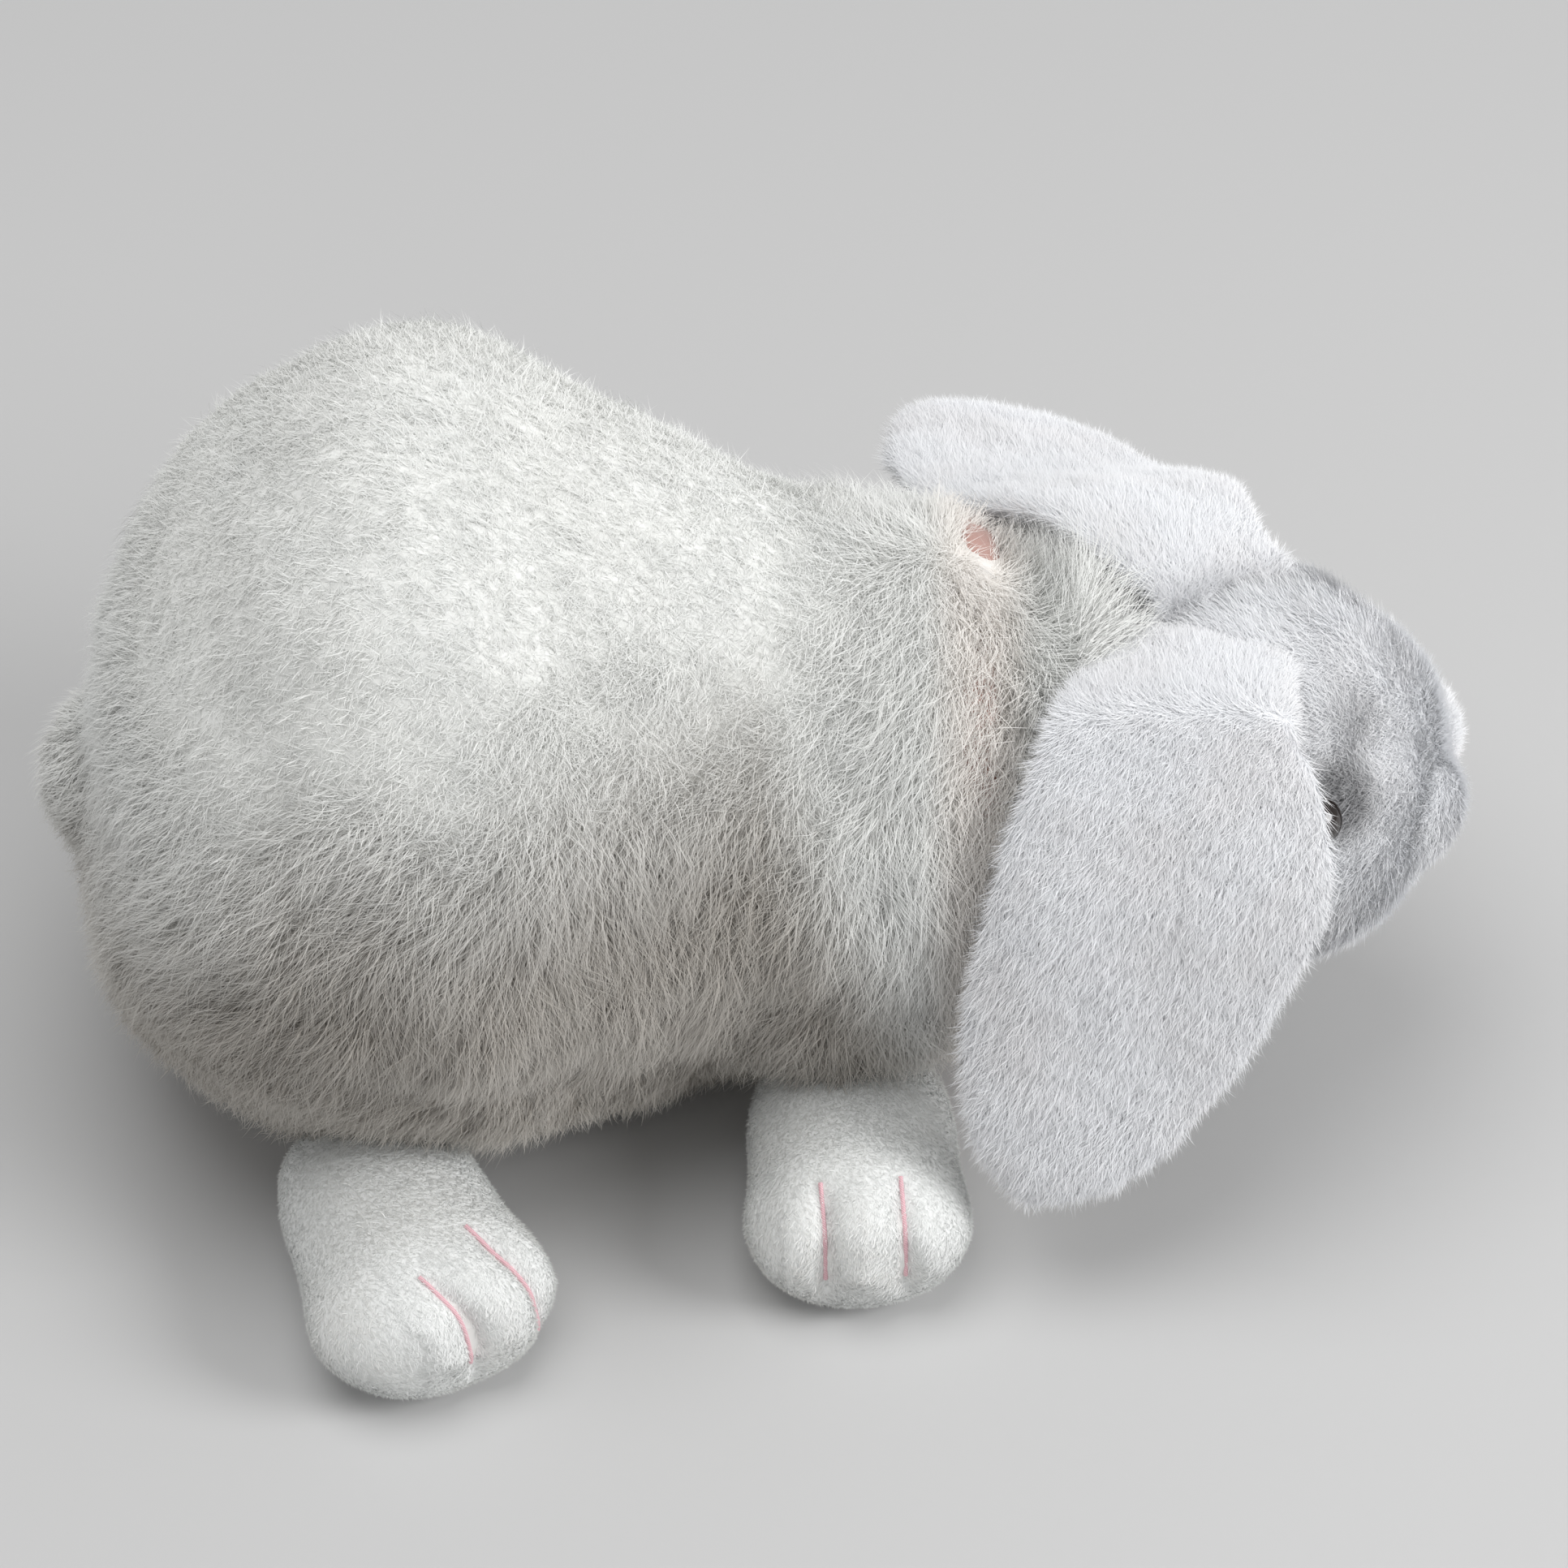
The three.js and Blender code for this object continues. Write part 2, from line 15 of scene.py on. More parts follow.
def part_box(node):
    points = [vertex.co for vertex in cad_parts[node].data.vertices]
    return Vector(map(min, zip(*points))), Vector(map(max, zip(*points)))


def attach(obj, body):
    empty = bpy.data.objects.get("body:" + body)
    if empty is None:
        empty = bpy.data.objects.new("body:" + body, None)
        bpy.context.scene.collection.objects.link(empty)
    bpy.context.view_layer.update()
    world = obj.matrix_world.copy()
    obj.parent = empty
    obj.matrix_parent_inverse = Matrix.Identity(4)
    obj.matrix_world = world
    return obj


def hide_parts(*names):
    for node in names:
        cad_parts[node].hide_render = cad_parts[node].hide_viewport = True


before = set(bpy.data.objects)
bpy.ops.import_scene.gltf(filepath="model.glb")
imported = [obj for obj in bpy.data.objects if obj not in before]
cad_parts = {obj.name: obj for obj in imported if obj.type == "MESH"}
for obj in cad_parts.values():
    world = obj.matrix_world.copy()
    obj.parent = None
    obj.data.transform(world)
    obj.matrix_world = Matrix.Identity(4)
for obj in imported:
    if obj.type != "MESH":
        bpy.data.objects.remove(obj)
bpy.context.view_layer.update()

bl_info = {
    "name": "Plush rabbit",
    "version": (1, 0, 0),
    "blender": (4, 5, 0),
    "location": "View3D > Sidebar > Rabbit",
    "description": "Builds the cloth, pile and trim of a stuffed rabbit around its frame",
    "category": "Object",
}

MM = 0.001
RIGHT = -1
LEFT = 1
SIDES = (("left", LEFT), ("right", RIGHT))
AHEAD = Vector((1, 0, 0))
ASIDE = Vector((0, 1, 0))
UP = Vector((0, 0, 1))

# Body sections: place along X, height of the middle, half width and half height
BODY_SECTIONS = (
    (-139.75, 78.0, 0.0, 0.0),
    (-134.5, 78.0, 39.0, 45.1),
    (-120.25, 83.9, 62.4, 69.5),
    (-94.0, 89.25, 75.7, 87.5),
    (-64.75, 89.75, 78.0, 90.25),
    (-36.7, 84.55, 62.9, 85.0),
    (-10.75, 79.75, 49.0, 80.25),
    (15.25, 72.8, 46.4, 72.8),
    (39.25, 76.0, 44.0, 66.0),
    (58.2, 76.0, 40.0, 50.2),
    (70.1, 82.0, 28.2, 33.0),
    (75.2, 82.0, 0.0, 0.0),
)
BODY_GRID = (96, 84)
BELLY_SEAM = 24.0
FLOOR_GAP = 0.4

# Soft swells of the body, each a height and a size, and the parting on the rump
BODY_SWELLS = ((3.0, 30), (0.9, 12))
BODY_LIFT = 0.9
PARTING = (Vector((-107.0, 9.7, 165.0)), Vector((-87.0, -26.0, 172.0)))
PARTING_DEPTH = 1.8
PARTING_WIDTH = 3.5

# Head and face
HEAD = Vector((103.25, 0.0, 82.0))
HEAD_RADIUS = 42.5
HEAD_GRID = 96
NECK_OPENING = 43.4
GUSSET_HALF_WIDTH = 14.0
GUSSET_FOOT = 85.0
MUZZLE = Vector((131.25, 0.0, 81.5))
MUZZLE_HALF_WIDTH = 27.0
MUZZLE_HALF_DEPTH = 17.5
MUZZLE_HALF_HEIGHT = 16.5
MUZZLE_SECTIONS = (
    (-1.0, 0.0), (-0.86, 0.56), (-0.45, 1.0), (0.0, 0.9), (0.45, 1.0), (0.86, 0.56), (1.0, 0.0),
)
MUZZLE_GRID = (64, 56)
EYE_WAY = Vector((0.31, 0.84, 0.44))
EYE_RADIUS = 5.5
EYE_DOME = 3.8
EYE_STEM_RADIUS = 1.6
EYE_STEM_DEPTH = 9.0
MOUTH_THREAD = 0.7

# Painted shade on the pile in the hollows beside the eyes, where shade falls under the brow and ear: the
# middle in metres, the inner and outer reach, and how dark
EYE_HOLLOW_SHADES = (
    ((0.1205, 0.0315, 0.103), 0.004, 0.013, 0.85),
    ((0.1235, 0.0195, 0.1145), 0.002, 0.012, 0.22),
)
HOLLOW_SHADE_COLOUR = (0.3, 0.3, 0.31)

# Ears: each root's place, and what the ear reaches from it
EAR_ROOT = Vector((94.24, 14.59, 126.08))
EAR_ROOT_TURN = math.radians(27)
EAR_ROOT_WIDTH = 34.0
EAR_WIDTH = 67.0
EAR_HALF_THICKNESS = 4.0
EAR_GRID = (72, 64)
HANGING_REACH = ((-7, 19, 0), (-10, 37, -25), (-24, 49, -63), (-38, 61, -97))
HANGING_SPREAD = (1.0, 0.0, 0.0)
THROWN_REACH = ((-13, 18, 0), (-29, 41, -17), (-40, 66, -29), (-53, 90, -38))
THROWN_SPREAD = (0.8, 0.52, -0.4)
LINING_SHARE = 0.5

# Legs: the hip's place, the leg's turn and length, half its root's height and width, and its paw
FRONT_LEG = {
    "x": 19.25, "y": 39.35, "turn": 3.0, "length": 49.5,
    "root": 14.5, "wide": 21.0, "paw": 23.5, "toe turn": 3.0,
}
HIND_LEG = {
    "x": -82.75, "y": 61.32, "turn": 22.0, "length": 54.5,
    "root": 16.0, "wide": 20.5, "paw": 26.0, "toe turn": 35.0,
}
LEG_GRID = (80, 80)
HIP_HEIGHT = 17.5
PAW_HEIGHT = 16.5
PAW_HALF_THICKNESS = 17.0
SOLE_SEAM = 13.5
PAW_MIDDLE = 0.6
TOE_LINE = 8.5
TOE_LINE_START = 5.0
TOE_THREAD = 0.5

# Tail and ribbon
TAIL = Vector((-132.75, 0.0, 80.0))
TAIL_RADIUS = 16.0
TAIL_SEAM = 12.5
TAIL_GRID = 36
RIBBON_PLACE = 46.25
RIBBON_WIDTH = 8.0
RIBBON_THICKNESS = 0.6
RIBBON_SHOWS = Vector((46.25, 7.0, 141.0))

# Cloths: the thickness, and how full the padding behind it is
BODY_CLOTH = (2.8, 0.8)
TAIL_CLOTH = (1.9, 0.7)
HEAD_CLOTH = (2.0, 0.9)
MUZZLE_CLOTH = (1.8, 0.9)
EAR_CLOTH = (1.6, 0.35)
LEG_CLOTH = (1.8, 0.75)

# Blades of pile, as (share of the height, half width), and where each pile's chance numbers start
LONG_BLADE = ((0, 0.5), (0.55, 0.42), (1, 0))
SHORT_BLADE = ((0, 0.5), (1, 0))
SEED_STEP = 20
UNDERCOAT_SEED = 300
TAIL_SEED = 400
HEAD_SEED = 500
MUZZLE_SEED = 580
EAR_SEED = 700
LEG_SEED = 900


def number(name, about, default, unit="NONE"):
    return FloatProperty(name=name, description=about, default=default, unit=unit)


def tone(name, about, default):
    return FloatVectorProperty(name=name, description=about, subtype="COLOR", default=default)


class RabbitPile(bpy.types.PropertyGroup):
    """Lengths and counts of the pile"""

    back_length: number("Back pile", "Length of the pile on the body", 15 * MM, "LENGTH")
    head_length: number("Head pile", "Length of the pile on the head", 4.6 * MM, "LENGTH")
    ear_length: number("Ear pile", "Length of the pile on the ears", 5.0 * MM, "LENGTH")
    paw_length: number("Paw pile", "Length of the velvet on the legs", 1.7 * MM, "LENGTH")
    tail_length: number("Tail pile", "Length of the pile on the tail", 8 * MM, "LENGTH")
    back_count: number("Back blades", "Blades of pile on each square millimetre of the body", 3.4)
    under_count: number("Under blades", "Blades of the body's undercoat on each square millimetre", 4.0)
    tail_count: number("Tail blades", "Blades on each square millimetre of the tail", 5.0)
    short_count: number("Short blades", "Blades on each square millimetre of head and ears", 10.0)
    paw_count: number("Paw blades", "Blades on each square millimetre of the legs", 5.5)
    seed: IntProperty(name="Seed", description="Start of the chance placing of the blades", default=11)


class RabbitColours(bpy.types.PropertyGroup):
    """Colours of the cloths and the trim"""

    cream: tone("Cream pile", "Colour of the body's pile", (0.865, 0.87, 0.85))
    white: tone("White pile", "Colour of head and ears", (0.93, 0.94, 0.96))
    velvet: tone("Paw velvet", "Colour of the legs", (0.925, 0.935, 0.925))
    thread: tone("Pink thread", "Colour of toe, nose and mouth thread", (0.87, 0.53, 0.58))
    ribbon: tone("Coral ribbon", "Colour of the neck ribbon", (0.56, 0.31, 0.26))


class RabbitStage(bpy.types.PropertyGroup):
    """Floor, light and camera"""

    floor: tone("Floor", "Colour of the floor", (0.6, 0.6, 0.6))
    overhead: number("Overhead", "Power of the overhead light", 8.5, "POWER")
    fill: number("Fill", "Power of the light on the face", 19.0, "POWER")
    ambient: number("Ambient", "Strength of the even light all round", 0.38)
    distance: number("Camera distance", "From the camera to the toy", 1.8, "LENGTH")
    view_width: number("View width", "Width of the picture at the toy", 0.3314, "LENGTH")


# Shapes


def spline(points, share):
    """The place at a share of a smooth line through points."""
    last = len(points) - 1
    spot = min(max(share, 0.0), 1.0) * last
    index = min(int(spot), last - 1)
    step = spot - index
    here = points[index]
    there = points[index + 1]
    before = points[index - 1] if index > 0 else here * 2 - there
    after = points[index + 2] if index + 2 <= last else there * 2 - here
    leave = (there - before) * 0.5
    arrive = (after - here) * 0.5
    bend = here * 2 - there * 2 + leave + arrive
    sway = there * 3 - here * 3 - leave * 2 - arrive
    return ((bend * step + sway) * step + leave) * step + here


def ease(low, high, value):
    """0 below low, 1 above high, and a smooth step between; low may be the greater."""
    share = min(max((value - low) / (high - low), 0.0), 1.0)
    return share * share * (3 - 2 * share)


def bump(distance, width):
    """1 at no distance, and a smooth fall towards 0 beyond the width."""
    return math.exp(-((distance / width) ** 2))


def mirrored(place, side):
    """A place or way of the left side, or its mirror image for the right."""
    return Vector((place[0], side * place[1], place[2]))


def settle(form):
    """Puts a form's points, edges and faces in one order, which new spheres don't have."""
    for parts, place_of in (
        (form.verts, lambda vert: vert.co),
        (form.edges, lambda edge: edge.verts[0].co + edge.verts[1].co),
        (form.faces, lambda face: face.calc_center_median()),
    ):
        ordered = sorted(parts, key=lambda part: tuple(round(value, 4) for value in place_of(part)))
        for index, part in enumerate(ordered):
            part.index = index
        parts.sort()


def stuffed_form(stations, side_at, grid, axis=None):
    """A closed form through stations of (place, half width, half thickness), with its own coordinates."""
    places = [Vector(station[0]) for station in stations]
    sizes = [Vector((station[1], station[2], 0)) for station in stations]
    form = bmesh.new()
    spot = form.verts.layers.float_vector.new("spot")
    bmesh.ops.create_uvsphere(form, u_segments=grid[0], v_segments=grid[1], radius=1)
    settle(form)
    for vert in form.verts:
        share = math.acos(min(max(-vert.co.z, -1), 1)) / math.pi
        turn = math.atan2(vert.co.y, vert.co.x)
        size = spline(sizes, share)
        tangent = axis or (spline(places, share + 0.01) - spline(places, share - 0.01)).normalized()
        side = side_at(share)
        side = (side - tangent * side.dot(tangent)).normalized()
        up = tangent.cross(side)
        place = spline(places, share)
        place += side * (math.cos(turn) * max(size.x, 0))
        place += up * (math.sin(turn) * max(size.y, 0))
        vert[spot] = (turn / math.tau % 1, share, 0)
        vert.co = place
    form.normal_update()
    bmesh.ops.recalc_face_normals(form, faces=form.faces)
    return form


def ball_form(centre, radius, around):
    """A ball, with its own coordinates."""
    form = bmesh.new()
    spot = form.verts.layers.float_vector.new("spot")
    bmesh.ops.create_uvsphere(form, u_segments=around, v_segments=around * 2 // 3, radius=1)
    settle(form)
    for vert in form.verts:
        turn = math.atan2(vert.co.y, vert.co.x)
        vert[spot] = (turn / math.tau % 1, (vert.co.z + 1) / 2, 0)
        vert.co = centre + vert.co * radius
    return form


def keep_normals(form):
    """Stores each point's outward way, so that cut panels share it along their seams."""
    settle(form)
    out = form.verts.layers.float_vector.new("out")
    form.normal_update()
    for vert in form.verts:
        vert[out] = vert.normal


def push(form, distance_at):
    """Moves each point along its normal by distance_at(place, normal)."""
    form.normal_update()
    moves = [(vert, vert.normal * distance_at(vert.co, vert.normal)) for vert in form.verts]
    for vert, move in moves:
        vert.co += move


def rest_on_floor(form):
    """Flattens what would be under the floor."""
    for vert in form.verts:
        vert.co.z = max(vert.co.z, FLOOR_GAP)


def cut_across(form, place, way):
    """Cuts a form's faces along a plane, and leaves both sides."""
    everything = form.verts[:] + form.edges[:] + form.faces[:]
    bmesh.ops.bisect_plane(form, geom=everything, plane_co=place, plane_no=way, dist=1e-4)


def panel_of(form, keep):
    """A copy with only the faces whose middle keep() takes."""
    panel = form.copy()
    gone = [face for face in panel.faces if not keep(face.calc_center_median())]
    bmesh.ops.delete(panel, geom=gone, context="FACES")
    return panel


def open_round(form, centre, radius):
    """Opens a form where a ball takes its place, with the edge on the ball."""
    inside = [face for face in form.faces if (face.calc_center_median() - centre).length < radius]
    bmesh.ops.delete(form, geom=inside, context="FACES")
    for vert in form.verts:
        if vert.is_boundary:
            vert.co = centre + (vert.co - centre).normalized() * radius


# Pieces


def linked(name, data):
    """A new object in the scene."""
    made = bpy.data.objects.new(name, data)
    bpy.context.scene.collection.objects.link(made)
    return made


def join_frame(made, body, node=None):
    """Ties a piece to a body of the frame, and hides the node that it stands for."""
    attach(made, body)
    if node:
        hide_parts(node)


def mesh_piece(name, form, body, slot, node, look=None):
    """A piece in metres from a form in millimetres, with the slot's material or another look."""
    mesh = bpy.data.meshes.new(name)
    bmesh.ops.scale(form, vec=(MM, MM, MM), verts=form.verts)
    form.to_mesh(mesh)
    form.free()
    mesh.shade_smooth()
    mesh.materials.append(material_of(look or slot))
    made = linked(name, mesh)
    join_frame(made, body, node)
    return made


def thicken(made, thickness):
    """Gives a piece's outer face a thickness inwards."""
    wall = made.modifiers.new("wall", "SOLIDIFY")
    wall.thickness = thickness * MM
    wall.offset = -1


def cloth_piece(name, panel, cloth, body, slot, node, look=None):
    """A sewn panel, thickened inwards by its cloth's thickness."""
    thickness, fill = cloth
    made = mesh_piece(name, panel, body, slot, node, look)
    thicken(made, thickness)


def thread_piece(name, path, radius, body, node):
    """A line of sewn thread along a path."""
    line = bpy.data.curves.new(name, "CURVE")
    line.dimensions = "3D"
    line.bevel_depth = radius * MM
    line.bevel_resolution = 3
    line.use_fill_caps = True
    run = line.splines.new("NURBS")
    run.points.add(len(path) - 1)
    for point, place in zip(run.points, path):
        point.co = (place.x * MM, place.y * MM, place.z * MM, 1)
    run.use_endpoint_u = True
    run.order_u = 3
    drawn = linked(name + "_line", line)
    depsgraph = bpy.context.evaluated_depsgraph_get()
    mesh = bpy.data.meshes.new_from_object(drawn.evaluated_get(depsgraph))
    bpy.data.objects.remove(drawn)
    bpy.data.curves.remove(line)
    mesh.name = name
    mesh.shade_smooth()
    mesh.materials.clear()
    mesh.materials.append(material_of("pink_thread"))
    join_frame(linked(name, mesh), body, node)


# Nodes


def add_node(tree, kind, feeds=None, **settings):
    """A node with its settings made and its inputs set or linked."""
    made = tree.nodes.new(kind)
    for name, value in settings.items():
        setattr(made, name, value)
    for key, feed in (feeds or {}).items():
        if isinstance(feed, bpy.types.NodeSocket):
            tree.links.new(feed, made.inputs[key])
        else:
            made.inputs[key].default_value = feed
    return made


def new_group(name, kind, inputs, output):
    """A node group with its sockets, and what its input node gives."""
    tree = bpy.data.node_groups.new(name, kind)
    for label, socket in inputs:
        tree.interface.new_socket(label, in_out="INPUT", socket_type=socket)
    tree.interface.new_socket(output[0], in_out="OUTPUT", socket_type=output[1])
    return tree, add_node(tree, "NodeGroupInput").outputs


def maths(tree, operation, *feeds):
    """A sum of numbers."""
    return add_node(tree, "ShaderNodeMath", dict(enumerate(feeds)), operation=operation).outputs[0]


def ramp(tree, value, low, high, start=0.0, end=1.0, kind="SMOOTHSTEP"):
    """A number that goes from start to end while a value goes from low to high."""
    return add_node(tree, "ShaderNodeMapRange", {
        "Value": value, "From Min": low, "From Max": high, "To Min": start, "To Max": end,
    }, interpolation_type=kind).outputs[0]


def mixed(tree, share, colour, other):
    """A colour, with a share of another."""
    feeds = {"Factor": share, 6: colour, 7: other}
    return add_node(tree, "ShaderNodeMix", feeds, data_type="RGBA").outputs[2]


# Pile


def blade_object(steps):
    """One blade of pile, a unit high, that bends over along +Y."""
    blade = bmesh.new()
    height = blade.verts.layers.float.new("height")
    across = blade.verts.layers.float.new("across")
    bmesh.ops.create_grid(blade, x_segments=1, y_segments=len(steps) - 1, size=0.5)
    rows = sorted({round(vert.co.y, 4) for vert in blade.verts})
    for vert in blade.verts:
        share, half_width = steps[rows.index(round(vert.co.y, 4))]
        right = vert.co.x > 0
        vert[height] = share
        vert[across] = 1.0 if right else 0.0
        vert.co = (half_width if right else -half_width, share * share, 1 - (1 - share) ** 2)
    bmesh.ops.remove_doubles(blade, verts=blade.verts, dist=1e-5)
    blade.normal_update()
    if sum(face.normal.z for face in blade.faces) < 0:
        bmesh.ops.reverse_faces(blade, faces=blade.faces)
    mesh = bpy.data.meshes.new("blade")
    blade.to_mesh(mesh)
    blade.free()
    made = linked("blade", mesh)
    made.hide_render = True
    return made


def pile_kind(blade, width, spread, tuft_size, tuft_pull, wave, frizz, smooth):
    """One kind of pile: the steps of its blades, and how they lie, with sizes in millimetres."""
    return {
        "Blade": blade,
        "Width": width * MM,
        "Spread": spread,
        "Tuft Size": tuft_size * MM,
        "Tuft Pull": tuft_pull,
        "Wave": wave * MM,
        "Frizz": frizz * MM,
        "Smooth": smooth,
    }


LONG_PILE = pile_kind(
    LONG_BLADE, width=0.17, spread=0.6, tuft_size=12, tuft_pull=0.24, wave=5, frizz=2.2, smooth=10.0
)
UNDER_PILE = pile_kind(
    SHORT_BLADE, width=0.26, spread=0.9, tuft_size=7, tuft_pull=0.12, wave=2.5, frizz=0.8, smooth=10.0
)
TAIL_PILE = pile_kind(
    LONG_BLADE, width=0.26, spread=0.6, tuft_size=9, tuft_pull=0.3, wave=4, frizz=1.5, smooth=3.0
)
SHORT_PILE = pile_kind(
    SHORT_BLADE, width=0.23, spread=0.8, tuft_size=5, tuft_pull=0.14, wave=2.0, frizz=0.8, smooth=7.0
)
PAW_PILE = pile_kind(
    SHORT_BLADE, width=0.26, spread=0.9, tuft_size=4, tuft_pull=0.08, wave=0.6, frizz=0.2, smooth=5.0
)

PILE_INPUTS = (
    ("Geometry", "NodeSocketGeometry"),
    ("Blade", "NodeSocketObject"),
    ("Count", "NodeSocketFloat"),
    ("Seed", "NodeSocketInt"),
    ("Length", "NodeSocketFloat"),
    ("Width", "NodeSocketFloat"),
    ("Spread", "NodeSocketFloat"),
    ("Tuft Size", "NodeSocketFloat"),
    ("Tuft Pull", "NodeSocketFloat"),
    ("Wave", "NodeSocketFloat"),
    ("Frizz", "NodeSocketFloat"),
    ("Smooth", "NodeSocketFloat"),
)
MOST_LEAN = 0.985
MAP_CELLS = 40


def pile_nodes():
    """The node group that sows blades on a cloth, gathers them in tufts and lays them over."""
    found = bpy.data.node_groups.get("sown_pile")
    if found:
        return found
    tree, given = new_group("sown_pile", "GeometryNodeTree", PILE_INPUTS, ("Geometry", "NodeSocketGeometry"))
    sums = partial(maths, tree)

    def vectors(operation, *feeds):
        made = add_node(tree, "ShaderNodeVectorMath", dict(enumerate(feeds)), operation=operation)
        return made.outputs["Value" if operation == "DOT_PRODUCT" else "Vector"]

    def scaled(vector, factor):
        feeds = {"Vector": vector, "Scale": factor}
        return add_node(tree, "ShaderNodeVectorMath", feeds, operation="SCALE").outputs["Vector"]

    def joined(x, y, z=0.0):
        return add_node(tree, "ShaderNodeCombineXYZ", {"X": x, "Y": y, "Z": z}).outputs[0]

    def named(name, kind="FLOAT"):
        return add_node(tree, "GeometryNodeInputNamedAttribute", {"Name": name}, data_type=kind).outputs[0]

    def stored(geometry, name, value, kind="FLOAT_VECTOR", domain="POINT"):
        feeds = {"Geometry": geometry, "Name": name, "Value": value}
        made = add_node(tree, "GeometryNodeStoreNamedAttribute", feeds, data_type=kind, domain=domain)
        return made.outputs[0]

    def chance(low, high, salt):
        feeds = {2: low, 3: high, 8: sums("ADD", given["Seed"], salt)}
        return add_node(tree, "FunctionNodeRandomValue", feeds, data_type="FLOAT").outputs[1]

    def chance_way(salt):
        feeds = {0: (-1, -1, -1), 1: (1, 1, 1), 8: sums("ADD", given["Seed"], salt)}
        return add_node(tree, "FunctionNodeRandomValue", feeds, data_type="FLOAT_VECTOR").outputs[0]

    out = named("out", "FLOAT_VECTOR")
    root = named("root", "FLOAT_VECTOR")
    height = named("height")

    # Roots of the blades
    sown = add_node(tree, "GeometryNodeDistributePointsOnFaces", {
        "Mesh": given["Geometry"],
        "Density": sums("MULTIPLY", given["Count"], named("share")),
        "Seed": given["Seed"],
    })
    place = add_node(tree, "GeometryNodeInputPosition").outputs[0]
    rooted = stored(sown.outputs["Points"], "root", place)
    frizzed = stored(rooted, "frizz", chance_way(1))

    # One blade on each root, combed and leaning
    way = vectors("ADD", named("comb", "FLOAT_VECTOR"), scaled(chance_way(2), given["Spread"]))
    turned = add_node(tree, "FunctionNodeAxesToRotation", {
        "Primary Axis": out, "Secondary Axis": way,
    }, primary_axis="Z", secondary_axis="Y").outputs[0]
    length = sums("MULTIPLY", given["Length"], named("length"))
    length = sums("MULTIPLY", length, chance(0.6, 1.1, 3))
    lean = sums("MINIMUM", sums("ADD", named("lean"), chance(-0.1, 0.08, 4)), MOST_LEAN)
    upright = sums("SQRT", sums("SUBTRACT", 1.0, sums("MULTIPLY", lean, lean)))
    width = sums("MULTIPLY", given["Width"], chance(0.7, 1.3, 5))
    size = joined(width, sums("MULTIPLY", length, lean), sums("MULTIPLY", length, upright))
    blade = add_node(tree, "GeometryNodeObjectInfo", {"Object": given["Blade"]}).outputs["Geometry"]
    blades = add_node(tree, "GeometryNodeInstanceOnPoints", {
        "Points": frizzed, "Instance": blade, "Rotation": turned, "Scale": size,
    })
    standing = add_node(tree, "GeometryNodeRealizeInstances", {"Geometry": blades.outputs[0]})

    # Tufts, waves and frizz, which grow towards the tips
    tuft = add_node(tree, "ShaderNodeTexVoronoi", {
        "Vector": root, "Scale": sums("DIVIDE", 1.0, given["Tuft Size"]),
    }, voronoi_dimensions="3D", feature="F1")
    pull = vectors("SUBTRACT", tuft.outputs["Position"], root)
    pull = vectors("SUBTRACT", pull, scaled(out, vectors("DOT_PRODUCT", pull, out)))
    pull = scaled(pull, sums("MULTIPLY", given["Tuft Pull"], sums("POWER", height, 1.4)))
    wave = add_node(tree, "ShaderNodeTexNoise", {
        "Vector": root, "Scale": sums("DIVIDE", 2.2, given["Tuft Size"]), "Detail": 2.0,
    }, noise_dimensions="3D").outputs["Color"]
    bent = sums("POWER", height, 2.0)
    wave = scaled(vectors("SUBTRACT", wave, (0.5, 0.5, 0.5)), sums("MULTIPLY", given["Wave"], bent))
    frizz = scaled(named("frizz", "FLOAT_VECTOR"), sums("MULTIPLY", given["Frizz"], bent))
    moved = vectors("ADD", place, vectors("ADD", pull, vectors("ADD", wave, frizz)))
    parts = add_node(tree, "ShaderNodeSeparateXYZ", {0: moved}).outputs
    moved = joined(parts["X"], parts["Y"], sums("MAXIMUM", parts["Z"], FLOOR_GAP * MM))
    laid = add_node(tree, "GeometryNodeSetPosition", {"Geometry": standing.outputs[0], "Position": moved})

    # Shading that follows the cloth, and a map with a cell for each patch of roots
    own = add_node(tree, "GeometryNodeInputNormal").outputs[0]
    shading = vectors("NORMALIZE", vectors("ADD", scaled(out, given["Smooth"]), own))
    shaded = add_node(tree, "GeometryNodeSetMeshNormal", {
        "Mesh": laid.outputs[0], "Custom Normal": shading,
    }, mode="FREE", domain="POINT")
    cell = vectors("FLOOR", scaled(named("spot", "FLOAT_VECTOR"), MAP_CELLS - 0.01))
    within = joined(
        sums("MULTIPLY_ADD", named("across"), 0.6, 0.2),
        sums("MULTIPLY_ADD", height, 0.8, 0.1),
    )
    spot = scaled(vectors("ADD", cell, within), 1 / MAP_CELLS)
    mapped = stored(shaded.outputs[0], "OFBake", spot, "FLOAT2", "CORNER")
    add_node(tree, "NodeGroupOutput", {0: mapped})
    return tree


